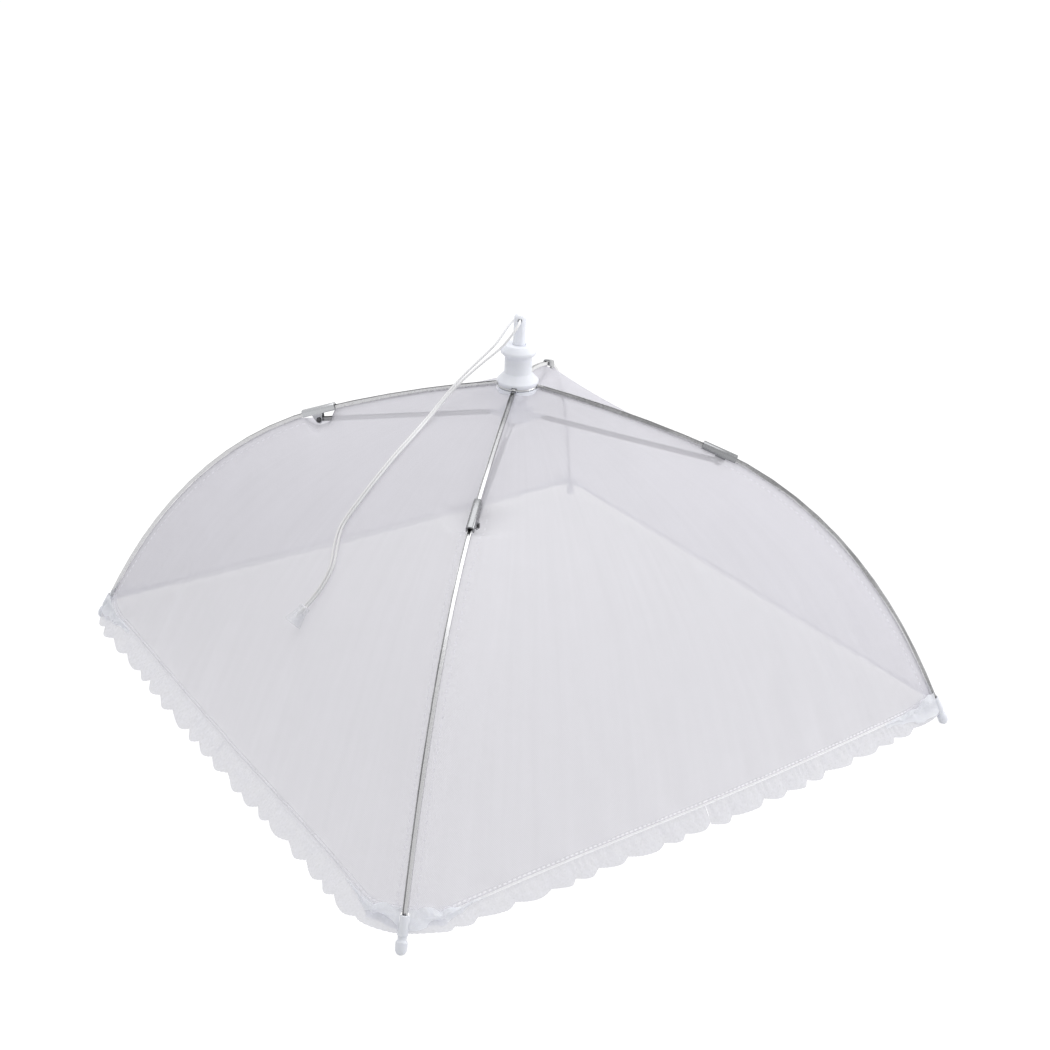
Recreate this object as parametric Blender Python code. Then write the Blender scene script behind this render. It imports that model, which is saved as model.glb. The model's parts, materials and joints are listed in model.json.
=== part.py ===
"""Fold-up mesh food cover, opened and standing on its four feet.

Metres, +Z up. The origin is the centre of the square on the table between the feet,
and the hub's axis runs up through it. Each rib stands in a plane through that axis.
In a rib's plane, "out" is the distance from the axis and "up" is the height, both
measured from the rib's hinge, and "side" is the distance to the left of the plane,
seen from the hub.
"""
import math

import bmesh
import bpy
from mathutils import Matrix, Vector

MM = 0.001
DEGREE = math.pi / 180.0

# Corners of the cover: the name of each and the direction of its rib from the hub
CORNERS = {"left": -135.0, "front": -45.0, "right": 45.0, "back": 135.0}
# Each rib carries two halves of the net, one on each side of its plane
SIDES = {"a": 1.0, "b": -1.0}

# Clearances
fit_gap = 0.3 * MM
rod_running_gap = 0.4 * MM
cut_overrun = 3.0 * MM

# Where the ribs hinge on the hub
hinge_radius = 11.5 * MM
hinge_height = 198.0 * MM

# Hub
hub_collar_radius = 12.2 * MM
hub_collar_drop = 4.0 * MM
hub_rim_radius = 12.6 * MM
hub_rim_rise = 2.0 * MM
hub_rim_height = 1.4 * MM
hub_flare_height = 4.6 * MM
hub_neck_radius = 8.3 * MM
hub_neck_top_rise = 18.0 * MM
hub_flange_radius = 10.9 * MM
hub_flange_rise = 20.6 * MM
hub_flange_height = 1.4 * MM
hub_top_radius = 8.6 * MM
hub_top_rise = 25.6 * MM
hub_slot_floor_radius = 9.3 * MM
ring_wire_radius = 0.55 * MM

# Pull rod
rod_radius = 3.7 * MM
rod_top_height = 243.0 * MM
rod_dome_height = 3.0 * MM
rod_eye_radius = 1.35 * MM
rod_eye_drop = 4.0 * MM
rod_eye_direction = -37.0 * DEGREE

# Runner, with heights measured from the struts' inner pins
pin_circle_radius = 17.0 * MM
pin_drop = 19.5 * MM
runner_radius = 10.4 * MM
runner_drop = 2.5 * MM
runner_rise = 4.0 * MM
runner_shoulder_height = 1.5 * MM
runner_collar_radius = 6.4 * MM
runner_collar_rise = 8.5 * MM
runner_floor_height = 2.0 * MM
runner_edge = 0.8 * MM
tongue_thickness = 1.0 * MM
tongue_half_height = 2.0 * MM
tongue_lip_radius = 1.9 * MM
hook_slot_start = 225.0 * DEGREE
hook_slot_end = 252.0 * DEGREE
hook_lip_length = 1.2 * MM
hook_lip_turn = 14.3 * DEGREE

# Ribs: bowed channels, open outwards
rib_width = 2.6 * MM
rib_depth = 2.2 * MM
rib_wall = 0.45 * MM
rib_upper_length = 117.0 * MM
rib_lower_length = 217.3 * MM
rib_tail_length = 8.0 * MM
rib_upper_slope = 10.3 * DEGREE
rib_upper_turn = 9.4 * DEGREE
rib_lower_slope = 20.0 * DEGREE
rib_lower_turn = 43.3 * DEGREE
rib_lower_lead_share = 1.5
rib_eye_radius = 1.5 * MM
rib_eye_width = 2.2 * MM
rib_eye_neck_height = 1.8 * MM
rib_eye_neck_length = 4.0 * MM

# Clips, centred on the joint of a rib's upper and lower stretches
clip_length = 22.0 * MM
clip_wall = 0.7 * MM
clip_roof_rise = 2.6 * MM
clip_roof_radius = 1.6 * MM
clip_skirt_drop = 1.7 * MM
clip_ear_forward = 1.575 * MM
clip_ear_drop = 5.546 * MM
clip_ear_radius = 2.3 * MM
clip_ear_spread = 3.4 * MM
clip_ear_cut_angle = 30.0 * DEGREE
rivet_radius = 0.8 * MM
rivet_head_radius = 1.6 * MM
rivet_head_height = 0.6 * MM

# Struts: channels, open upwards, from the clips' rivets to the runner's tongues
strut_width = 2.6 * MM
strut_depth = 2.4 * MM
strut_wall = 0.4 * MM
strut_outer_end_radius = 2.0 * MM
strut_inner_end_radius = 1.4 * MM
strut_fork_length = 14.0 * MM
pin_radius = 0.5 * MM
pin_head_radius = 1.1 * MM
pin_head_height = 0.4 * MM

# Corner caps, with lengths measured along the rib's end from the cap's mouth
cap_mouth_radius = 2.8 * MM
cap_sleeve_radius = 3.3 * MM
cap_sleeve_length = 10.0 * MM
cap_neck_radius = 2.7 * MM
cap_neck_length = 2.2 * MM
cap_foot_radius = 3.7 * MM
cap_foot_start = 13.4 * MM
cap_foot_centre = 16.5 * MM
cap_edge = 0.4 * MM

# Net: a thin shell under the ribs, and the lace that hangs from its hem
net_thickness = 0.8 * MM
net_top_radius = 12.7 * MM
net_top_drop = 3.0 * MM
net_rib_start = 1.4 * MM
net_rib_end_margin = 1.3 * MM
net_hem_reach = 198.0 * MM
net_hem_height = 12.0 * MM
net_bow = 36.0 * MM
net_seam_margin = 0.2 * MM
net_rib_margin = 0.25 * MM
net_steps_across = 5
net_row_shares = (0.0, 0.08, 0.17, 0.25, 0.48, 0.58, 0.68, 0.78, 0.88, 1.0)
lace_thickness = 0.7 * MM
lace_end_margin = 9.0 * MM
lace_height = 10.0 * MM
lace_flare = 11.0 * MM
lace_wave_height = 1.7 * MM
lace_top_wave_share = 0.2
lace_waves = 11
lace_steps_per_wave = 4

# How the net folds: each half turns about its gore's own line as the ribs come down
rib_fold = 53.5 * DEGREE
net_fold = 41.92 * DEGREE
net_fold_reach = 72.13 * MM

# Pull cord
cord_radius = 0.8 * MM
cord_step = 4.6 * MM
bead_narrow_radius = 2.9 * MM
bead_collar_radius = 3.3 * MM
bead_collar_length = 1.6 * MM
bead_wide_radius = 5.3 * MM
bead_length = 12.0 * MM
bead_wall = 1.0 * MM
bead_cavity_length = 8.0 * MM
bead_place = (25.0 * MM, -158.3 * MM, 101.8 * MM)
bead_direction = (0.03, -0.74, -0.672)

# Routes of the two strands in millimetres, from the middle of the rod's eye to the bead
STRAND_A_ROUTE = (
    (-0.12, 0.09, 239.0), (-3.2, 2.4, 239.0), (-6.0, 3.2, 238.2), (-8.0, 1.2, 235.9),
    (-8.0, -2.6, 233.0), (-6.6, -7.0, 229.6), (-5.6, -12.4, 224.7), (-6.8, -17.0, 219.9),
    (-8.6, -22.1, 214.8), (-11.6, -32.3, 205.0), (-13.7, -42.0, 194.6), (-13.2, -54.5, 183.4),
    (-8.6, -69.9, 174.8), (-5.4, -81.0, 168.8), (-2.4, -91.2, 162.6), (0.4, -101.8, 155.4),
    (3.1, -112.3, 147.6), (4.8, -120.2, 141.2), (7.4, -126.9, 135.2), (13.4, -133.4, 129.0),
    (19.8, -138.5, 123.7), (22.4, -141.3, 120.6), (23.8, -144.0, 117.7), (24.7, -147.0, 114.2),
    (25.1, -149.9, 110.9), (24.7, -154.0, 106.2), (24.1, -156.7, 103.4), (24.0, -158.1, 102.1),
)
STRAND_B_ROUTE = (
    (0.12, -0.09, 239.0), (3.2, -2.4, 239.0), (5.4, -4.6, 237.8), (5.6, -7.4, 234.6),
    (3.6, -10.0, 229.5), (0.6, -13.0, 224.0), (-1.8, -17.1, 219.5), (-4.2, -21.9, 215.0),
    (-8.4, -32.2, 205.2), (-11.5, -42.1, 194.8), (-11.1, -54.8, 183.3), (-6.4, -70.3, 174.6),
    (-3.2, -81.4, 168.6), (-0.2, -91.5, 162.4), (2.6, -102.1, 155.2), (5.3, -112.6, 147.4),
    (6.9, -120.3, 141.0), (9.4, -126.1, 135.8), (15.2, -132.0, 130.2), (21.7, -137.3, 124.7),
    (24.4, -140.3, 121.5), (25.9, -143.2, 118.4), (26.8, -146.6, 114.6), (27.2, -149.7, 111.1),
    (26.7, -153.9, 106.3), (26.1, -156.7, 103.4), (26.0, -158.1, 102.1),
)

# Steps round turned pieces and along curves
turned_steps = 32
rod_steps = 20
ring_tube_steps = 6
small_turned_steps = 10
cap_steps = 18
dome_steps = 4
hook_hole_steps = 8
hook_lip_steps = 6
eye_steps = 12
ear_steps = 6
roof_steps = 3
strut_outer_end_steps = 10
strut_inner_end_steps = 8
rib_upper_steps = 5
rib_lower_steps = 12
rib_curve_steps = 200
strand_side_steps = 2

# Small values for the meshes: the angle of a sharp edge, and doubles that are merged
sharp_angle = 35.0 * DEGREE
merge_distance = 0.001 * MM
# How far along the net, as a share, its slope is measured
slope_step_share = 0.001


def clear_scene():
    """Remove what the scene holds."""
    for thing in list(bpy.data.objects):
        bpy.data.objects.remove(thing)


def make_material(name, colour, roughness, metallic=0.0):
    """Make one Principled finish."""
    material = bpy.data.materials.new(name)
    material.use_nodes = True
    shader = material.node_tree.nodes["Principled BSDF"]
    shader.inputs["Base Color"].default_value = (*colour, 1.0)
    shader.inputs["Roughness"].default_value = roughness
    shader.inputs["Metallic"].default_value = metallic
    return material


def add_frame(name, place, turn=0.0, parent=None):
    """Add an empty that carries the pieces of one moving body."""
    frame = bpy.data.objects.new(name, None)
    bpy.context.scene.collection.objects.link(frame)
    frame.empty_display_size = hub_rim_radius
    frame.parent = parent
    frame.location = place
    frame.rotation_euler = (0.0, 0.0, turn)
    return frame


def add_piece(name, mesh, material, parent=None, place=(0.0, 0.0, 0.0)):
    """Add one named piece, which may share its mesh with its copies."""
    piece = bpy.data.objects.new(name, mesh)
    bpy.context.scene.collection.objects.link(piece)
    if not mesh.materials:
        mesh.materials.append(material)
    piece.parent = parent
    piece.location = place
    return piece


def mesh_from(work, name):
    """Turn a bmesh into a smooth-shaded mesh whose faces point out."""
    bmesh.ops.recalc_face_normals(work, faces=work.faces)
    mesh = bpy.data.meshes.new(name)
    work.to_mesh(mesh)
    work.free()
    mesh.shade_smooth()
    mesh.set_sharp_from_angle(angle=sharp_angle)
    return mesh


def turned(name, outline, steps, matrix=None):
    """Spin an outline of (radius, height) points about the Z axis."""
    work = bmesh.new()
    points = [work.verts.new((radius, 0.0, height)) for radius, height in outline]
    closed = outline[0][0] > 0.0
    ends = points[1:] + points[:1] if closed else points[1:]
    edges = [work.edges.new(pair) for pair in zip(points, ends)]
    bmesh.ops.spin(work, geom=points + edges, cent=(0.0, 0.0, 0.0), axis=(0.0, 0.0, 1.0),
                   dvec=(0.0, 0.0, 0.0), angle=math.tau, steps=steps, use_merge=True)
    bmesh.ops.remove_doubles(work, verts=work.verts, dist=merge_distance)
    if matrix is not None:
        bmesh.ops.transform(work, matrix=matrix, verts=work.verts)
    return mesh_from(work, name)


def plate(name, outline, thickness, matrix=None):
    """Extrude an outline of (out, up) points to both sides of the plane."""
    work = bmesh.new()
    half = thickness / 2
    face = work.faces.new([work.verts.new((out, -half, up)) for out, up in outline])
    made = bmesh.ops.extrude_face_region(work, geom=[face])
    far = [item for item in made["geom"] if isinstance(item, bmesh.types.BMVert)]
    bmesh.ops.translate(work, vec=(0.0, thickness, 0.0), verts=far)
    if matrix is not None:
        bmesh.ops.transform(work, matrix=matrix, verts=work.verts)
    return mesh_from(work, name)


def block(name, low, high, matrix=None):
    """Make a box between two corners."""
    outline = ((low[0], low[2]), (high[0], low[2]), (high[0], high[2]), (low[0], high[2]))
    shift = Matrix.Translation((0.0, (low[1] + high[1]) / 2, 0.0))
    if matrix is not None:
        shift = matrix @ shift
    return plate(name, outline, high[1] - low[1], shift)


def cross_pin(name, radius, length, steps, centre=(0.0, 0.0, 0.0)):
    """Make a plain pin along the side direction, used to cut a hole."""
    outline = ((0.0, -length / 2), (radius, -length / 2), (radius, length / 2), (0.0, length / 2))
    return turned(name, outline, steps, Matrix.Translation(centre) @ across())


def across():
    """Return the turn that lays the Z axis along the side direction."""
    return Matrix.Rotation(-math.pi / 2, 4, "X")


def joined(name, base, adds=(), cuts=()):
    """Return the base mesh with some meshes joined to it and others cut from it."""
    tools = []
    body = bpy.data.objects.new(name, base)
    bpy.context.scene.collection.objects.link(body)
    jobs = [("UNION", mesh) for mesh in adds] + [("DIFFERENCE", mesh) for mesh in cuts]
    for operation, mesh in jobs:
        tool = bpy.data.objects.new("tool", mesh)
        bpy.context.scene.collection.objects.link(tool)
        modifier = body.modifiers.new(operation, "BOOLEAN")
        modifier.operation = operation
        modifier.object = tool
        tools.append(tool)
    graph = bpy.context.evaluated_depsgraph_get()
    made = bpy.data.meshes.new_from_object(body.evaluated_get(graph))
    made.name = name
    for thing in [body, *tools]:
        mesh = thing.data
        bpy.data.objects.remove(thing)
        bpy.data.meshes.remove(mesh)
    return made


def arc(centre, radius, start, end, steps):
    """Return points on an arc from one angle to another."""
    points = []
    for step in range(steps + 1):
        angle = start + (end - start) * step / steps
        points.append((centre[0] + radius * math.cos(angle), centre[1] + radius * math.sin(angle)))
    return points


def rib_slope(length):
    """Return how steeply a rib runs down at a length along it from its hinge."""
    if length <= rib_upper_length:
        return rib_upper_slope + rib_upper_turn * length / rib_upper_length
    share = min((length - rib_upper_length) / rib_lower_length, 1.0)
    lead = rib_lower_lead_share
    return rib_lower_slope + rib_lower_turn * (lead * share - (lead - 1) * share ** 2)


def rib_point(length, rise=0.0):
    """Return the (out, up) point at a length along a rib, raised square to it."""
    out = 0.0
    up = 0.0
    run = length / rib_curve_steps
    for step in range(rib_curve_steps):
        slope = rib_slope(run * (step + 1 / 2))
        out += math.cos(slope) * run
        up -= math.sin(slope) * run
    slope = rib_slope(length)
    return out + rise * math.sin(slope), up + rise * math.cos(slope)


def rib_plane(length, rise=0.0):
    """Return the matrix at a length along a rib: its X axis runs on along the rib."""
    out, up = rib_point(length, rise)
    return Matrix.Translation((out, 0.0, up)) @ Matrix.Rotation(rib_slope(length), 4, "Y")


rib_end_length = rib_upper_length + rib_lower_length


def hub_mesh():
    """Spool with a bore for the rod, a groove for the ring wire and four rib slots."""
    bore = rod_radius + rod_running_gap
    groove = ring_wire_radius + fit_gap
    rim_top = hub_rim_rise + hub_rim_height
    outline = (
        (bore, -hub_collar_drop), (hub_collar_radius, -hub_collar_drop),
        (hub_collar_radius, -groove), (hinge_radius - groove, -groove),
        (hinge_radius - groove, groove), (hub_collar_radius, groove),
        (hub_collar_radius, hub_rim_rise), (hub_rim_radius, hub_rim_rise),
        (hub_rim_radius, rim_top), (hub_neck_radius, rim_top + hub_flare_height),
        (hub_neck_radius, hub_neck_top_rise), (hub_flange_radius, hub_flange_rise),
        (hub_flange_radius, hub_flange_rise + hub_flange_height),
        (hub_top_radius, hub_top_rise), (bore, hub_top_rise),
    )
    body = turned("hub_body", outline, turned_steps)
    half = rib_width / 2 + fit_gap
    slots = []
    for direction in CORNERS.values():
        low = (hub_slot_floor_radius, -half, -hub_collar_drop - cut_overrun)
        high = (hub_rim_radius + cut_overrun, half, hub_rim_rise)
        turn = Matrix.Rotation(direction * DEGREE, 4, "Z")
        slots.append(block("slot", low, high, turn))
    return joined("hub_body", body, cuts=slots)


def ring_wire_mesh():
    """Ring through the four rib eyes."""
    outline = []
    for step in range(ring_tube_steps):
        angle = math.tau * step / ring_tube_steps
        outline.append((hinge_radius + ring_wire_radius * math.cos(angle),
                        ring_wire_radius * math.sin(angle)))
    return turned("hub_ring_wire", outline, turned_steps)


def rod_mesh():
    """Rod with a domed top and a cord eye through it, from the runner's socket."""
    pin_height = hinge_height - pin_drop
    bottom = pin_height - runner_drop + runner_floor_height + fit_gap
    edge = fit_gap
    dome = rod_top_height - rod_dome_height
    outline = [(0.0, bottom), (rod_radius - edge, bottom), (rod_radius, bottom + edge)]
    for step in range(dome_steps):
        angle = math.pi / 2 * step / dome_steps
        outline.append((rod_radius * math.cos(angle), dome + rod_dome_height * math.sin(angle)))
    outline.append((0.0, rod_top_height))
    eye = cross_pin("eye", rod_eye_radius, 4 * rod_radius, eye_steps,
                    (0.0, 0.0, rod_top_height - rod_eye_drop))
    eye.transform(Matrix.Rotation(rod_eye_direction - math.pi / 2, 4, "Z"))
    body = turned("pull_rod", outline, rod_steps)
    return joined("pull_rod", body, cuts=[eye])


def tongue_outline():
    """Outline of a runner tongue, a hook over the strut's pin, from the pin's centre."""
    hole = pin_radius + fit_gap
    start = hook_slot_start - math.pi / 2
    end = hook_slot_end + math.pi / 2
    root = runner_radius - pin_circle_radius - tongue_half_height
    slope = Vector((math.cos(hook_slot_start), math.sin(hook_slot_start)))
    roof = Vector((hole * math.cos(start), hole * math.sin(start)))
    reach = (roof.y + tongue_half_height) / -slope.y
    outline = [(root, tongue_half_height), (root, -tongue_half_height),
               tuple(roof + slope * reach)]
    outline += arc((0.0, 0.0), hole, start, end - math.tau, hook_hole_steps)
    lip = Vector((hole * math.cos(end), hole * math.sin(end)))
    lip += Vector((math.cos(hook_slot_end), math.sin(hook_slot_end))) * hook_lip_length
    outline.append(tuple(lip))
    low = math.atan2(lip.y, lip.x) + hook_lip_turn
    outline += arc((0.0, 0.0), tongue_lip_radius, low, math.pi / 2, hook_lip_steps)
    outline.append((-tongue_lip_radius, tongue_half_height))
    return outline


def runner_mesh():
    """Disc with a blind socket for the rod and four hooked tongues for the struts."""
    socket = rod_radius + fit_gap
    outline = (
        (0.0, -runner_drop), (runner_radius - runner_edge, -runner_drop),
        (runner_radius, runner_edge - runner_drop), (runner_radius, runner_rise),
        (runner_collar_radius, runner_rise + runner_shoulder_height),
        (runner_collar_radius, runner_collar_rise), (socket, runner_collar_rise),
        (socket, runner_floor_height - runner_drop), (0.0, runner_floor_height - runner_drop),
    )
    body = turned("runner", outline, turned_steps)
    tongues = []
    for direction in CORNERS.values():
        place = Matrix.Rotation(direction * DEGREE, 4, "Z")
        place @= Matrix.Translation((pin_circle_radius, 0.0, 0.0))
        tongues.append(plate("tongue", tongue_outline(), tongue_thickness, place))
    return joined("runner", body, adds=tongues)


def channel(name, stations, width, depth, wall):
    """Sweep a U outline through stations, each a matrix whose X axis runs along."""
    half = width / 2
    low = -depth / 2
    section = ((-half, low), (half, low), (half, -low), (half - wall, -low),
               (half - wall, low + wall), (wall - half, low + wall),
               (wall - half, -low), (-half, -low))
    work = bmesh.new()
    rings = []
    for station in stations:
        rings.append([work.verts.new(station @ Vector((0.0, side, up))) for side, up in section])
    for ring, after in zip(rings, rings[1:]):
        for index in range(len(section)):
            on = (index + 1) % len(section)
            work.faces.new((ring[index], ring[on], after[on], after[index]))
    work.faces.new(rings[0])
    work.faces.new(reversed(rings[-1]))
    return mesh_from(work, name)


def rib_mesh():
    """Bowed channel with an eye on the hub's ring wire and a straight tail."""
    start = rib_eye_neck_length / 2
    lengths = [start]
    for step in range(rib_upper_steps):
        lengths.append(rib_upper_length * (step + 1) / rib_upper_steps)
    for step in range(rib_lower_steps):
        lengths.append(rib_upper_length + rib_lower_length * (step + 1) / rib_lower_steps)
    stations = [rib_plane(length) for length in lengths]
    stations.append(rib_plane(rib_end_length) @ Matrix.Translation((rib_tail_length, 0.0, 0.0)))
    body = channel("rib", stations, rib_width, rib_depth, rib_wall)
    half = rib_eye_neck_height / 2
    turn = math.asin(half / rib_eye_radius)
    outline = arc((0.0, 0.0), rib_eye_radius, turn, math.tau - turn, eye_steps)
    outline += [(rib_eye_neck_length, -half), (rib_eye_neck_length, half)]
    eye = plate("eye", outline, rib_eye_width, Matrix.Rotation(rib_upper_slope, 4, "Y"))
    hole = cross_pin("hole", ring_wire_radius + fit_gap, 2 * rib_width, small_turned_steps)
    return joined("rib", body, adds=[eye], cuts=[hole])


def strut_pivot():
    """Return the place of the strut's rivet, in the clip's ears, from the rib's hinge."""
    return rib_plane(rib_upper_length) @ Vector((clip_ear_forward, 0.0, -clip_ear_drop))


def clip_mesh():
    """Folded saddle over the rib with two ears that hold the strut's rivet."""
    ear = (clip_ear_forward, -clip_ear_drop)
    half = clip_length / 2
    top = clip_roof_rise
    low = -clip_skirt_drop
    outline = [(-half, low), (-half, top), (half, top), (half, low),
               (ear[0] + clip_ear_spread, low)]
    outline += arc(ear, clip_ear_radius, -clip_ear_cut_angle, clip_ear_cut_angle - math.pi,
                   ear_steps)
    outline.append((ear[0] - clip_ear_spread, low))
    inner = rib_width + 2 * fit_gap
    outer = inner + 2 * clip_wall
    work = bmesh.new()
    work.from_mesh(plate("clip", outline, outer))
    edges = [edge for edge in work.edges
             if all(abs(vert.co.z - top) < fit_gap for vert in edge.verts)
             and abs(edge.verts[0].co.x - edge.verts[1].co.x) > half]
    bmesh.ops.bevel(work, geom=edges, offset=clip_roof_radius, segments=roof_steps,
                    profile=1 / 2, affect="EDGES")
    body = mesh_from(work, "clip")
    slot = block("slot", (-clip_length, -inner / 2, ear[1] - clip_length),
                 (clip_length, inner / 2, rib_depth / 2 + fit_gap))
    hole = cross_pin("hole", rivet_radius + fit_gap, 2 * outer, small_turned_steps,
                     (ear[0], 0.0, ear[1]))
    mesh = joined("clip", body, cuts=[slot, hole])
    mesh.transform(rib_plane(rib_upper_length))
    return mesh


def headed_pin(name, radius, head_radius, head_height, grip):
    """Make a pin with a domed head at both ends, along the side direction."""
    inner = grip / 2 + fit_gap
    outer = inner + head_height
    dome = head_radius - head_height / 2
    outline = ((0.0, -outer), (dome, -outer), (head_radius, head_height / 2 - outer),
               (head_radius, -inner), (radius, -inner), (radius, inner),
               (head_radius, inner), (head_radius, outer - head_height / 2),
               (dome, outer), (0.0, outer))
    return turned(name, outline, small_turned_steps, across())


def strut_line():
    """Return the strut's length and the matrix whose X axis runs in along it."""
    run = Vector((pin_circle_radius - hinge_radius, 0.0, -pin_drop)) - strut_pivot()
    turn = Matrix.Rotation(math.atan2(-run.z, run.x), 4, "Y")
    return run.length, turn


def strut_mesh():
    """Channel with a rivet hole at one end and a fork for the tongue at the other."""
    length, turn = strut_line()
    half = strut_depth / 2
    inner = strut_width - 2 * strut_wall
    out_turn = math.asin(half / strut_outer_end_radius)
    in_turn = math.asin(half / strut_inner_end_radius)
    outline = arc((0.0, 0.0), strut_outer_end_radius, out_turn, math.tau - out_turn,
                  strut_outer_end_steps)
    outline += arc((length, 0.0), strut_inner_end_radius, in_turn - math.pi,
                   math.pi - in_turn, strut_inner_end_steps)
    body = plate("strut", outline, strut_width)
    far = length + strut_inner_end_radius + cut_overrun
    near = strut_outer_end_radius + cut_overrun
    trough = block("trough", (-near, -inner / 2, strut_wall - half), (far, inner / 2, near))
    fork = block("fork", (length - strut_fork_length, -inner / 2, -near),
                 (far, inner / 2, near))
    outer_hole = cross_pin("hole", rivet_radius + fit_gap, 2 * strut_width,
                           small_turned_steps)
    inner_hole = cross_pin("hole", pin_radius + fit_gap, 2 * strut_width,
                           small_turned_steps, (length, 0.0, 0.0))
    mesh = joined("strut", body, cuts=[trough, fork, outer_hole, inner_hole])
    # The X axis runs inwards, so the channel's open side is turned back to face up
    mesh.transform(turn @ Matrix.Rotation(math.pi, 4, "X"))
    return mesh


def cap_mesh():
    """Sleeve on the rib's tail, a neck and a round foot cut flat by the table."""
    outline = [(0.0, 0.0), (cap_mouth_radius - cap_edge, 0.0), (cap_mouth_radius, cap_edge),
               (cap_sleeve_radius, cap_sleeve_length),
               (cap_neck_radius, cap_sleeve_length + cap_edge),
               (cap_neck_radius, cap_sleeve_length + cap_neck_length),
               (cap_foot_radius, cap_foot_start)]
    for step in range(dome_steps):
        angle = math.pi / 2 * step / dome_steps
        outline.append((cap_foot_radius * math.cos(angle),
                        cap_foot_centre + cap_foot_radius * math.sin(angle)))
    outline.append((0.0, cap_foot_centre + cap_foot_radius))
    place = rib_plane(rib_end_length)
    body = turned("corner_cap", outline, cap_steps, place @ Matrix.Rotation(math.pi / 2, 4, "Y"))
    deep = rib_depth / 2 + fit_gap
    wide = rib_width / 2 + fit_gap
    bore = block("bore", (-cut_overrun, -wide, -deep), (rib_tail_length + fit_gap, wide, deep),
                 place)
    out = rib_point(rib_end_length)[0]
    reach = cap_foot_centre + cap_foot_radius
    floor = block("floor", (out - reach, -reach, -hinge_height - reach),
                  (out + 2 * reach, reach, -hinge_height))
    return joined("corner_cap", body, cuts=[bore, floor])


def gore_middle(share):
    """Return the (reach, height) point of a gore's middle line."""
    start = Vector((net_top_radius, hinge_height - net_top_drop))
    end = Vector((net_hem_reach, net_hem_height))
    run = end - start
    rise = Vector((-run.y, run.x)).normalized() * (4 * net_bow * share * (1 - share))
    return start + run * share + rise


def net_point(share, across_share):
    """Return a point on the net's outer side, in the rib's frame, on its left side.

    The first share runs from the hub to the hem, the second from the gore's middle
    line to the rib.
    """
    length = net_rib_start + (rib_end_length - net_rib_end_margin - net_rib_start) * share
    out, up = rib_point(length, -rib_depth / 2 - fit_gap)
    reach, height = gore_middle(share)
    corner = (out + hinge_radius) / math.sqrt(2)
    corner_height = up + hinge_height
    x = across_share * corner
    y = reach + (corner - reach) * across_share ** 2
    z = height + (corner_height - height) * across_share ** 2
    turn = Matrix.Rotation(-math.pi / 4, 4, "Z")
    place = turn @ Vector((x, y, z))
    return place - Vector((hinge_radius, 0.0, hinge_height))


def net_normal(share, across_share):
    """Return the net's outward direction, kept inside the seam's plane on a seam."""
    near = share - slope_step_share
    far = share + slope_step_share
    along = net_point(far, across_share) - net_point(near, across_share)
    left = across_share + slope_step_share
    right = across_share - slope_step_share
    over = net_point(share, left) - net_point(share, right)
    normal = along.cross(over)
    if normal.z < 0:
        normal.negate()
    if across_share == 1:
        normal.y = 0.0
    if across_share == 0:
        middle = Vector((1.0, -1.0, 0.0)).normalized()
        normal -= middle * normal.dot(middle)
    return normal.normalized()


def shell(name, outside, inside, mirrored):
    """Close two equal grids of points into one thin shell."""
    work = bmesh.new()
    flip = Matrix.Diagonal((1.0, -1.0 if mirrored else 1.0, 1.0, 1.0))
    grids = []
    for grid in (outside, inside):
        grids.append([[work.verts.new(flip @ point) for point in row] for row in grid])
    rows = len(outside)
    columns = len(outside[0])
    for grid in grids:
        for row in range(rows - 1):
            for column in range(columns - 1):
                work.faces.new((grid[row][column], grid[row][column + 1],
                                grid[row + 1][column + 1], grid[row + 1][column]))
    border = [(0, column) for column in range(columns)]
    border += [(row, columns - 1) for row in range(1, rows)]
    border += [(rows - 1, column) for column in reversed(range(columns - 1))]
    border += [(row, 0) for row in reversed(range(1, rows - 1))]
    top, low = grids
    for here, on in zip(border, border[1:] + border[:1]):
        work.faces.new((top[here[0]][here[1]], top[on[0]][on[1]],
                        low[on[0]][on[1]], low[here[0]][here[1]]))
    return mesh_from(work, name)


def net_rows():
    """Return the net's row shares, with two rows at each end of the clip's notch."""
    run = rib_end_length - net_rib_end_margin - net_rib_start
    half = clip_length / 2
    rows = list(net_row_shares)
    for end in (rib_upper_length - half - fit_gap, rib_upper_length + half + fit_gap):
        for edge in (end - fit_gap, end + fit_gap):
            rows.append((edge - net_rib_start) / run)
    return sorted(rows)


def edge_margin(share):
    """Return how far the net's edge stays from the rib's plane: round the clip, more."""
    length = net_rib_start + (rib_end_length - net_rib_end_margin - net_rib_start) * share
    if abs(length - rib_upper_length) < clip_length / 2 + fit_gap:
        return rib_width / 2 + fit_gap + clip_wall + fit_gap
    return net_rib_margin


def net_mesh(frame_place, mirrored):
    """Half a gore, from its middle line to the rib, seen from the leaf's own frame."""
    middle = Vector((-1.0, 1.0, 0.0)).normalized()
    outside = []
    inside = []
    for share in net_rows():
        upper = []
        lower = []
        for column in range(net_steps_across + 1):
            across_share = column / net_steps_across
            place = net_point(share, across_share)
            if column == 0:
                place -= middle * net_seam_margin
            if column == net_steps_across:
                place.y += edge_margin(share)
            upper.append(place - frame_place)
            lower.append(upper[-1] - net_normal(share, across_share) * net_thickness)
        outside.append(upper)
        inside.append(lower)
    return shell("net_panel", outside, inside, mirrored)


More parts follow.
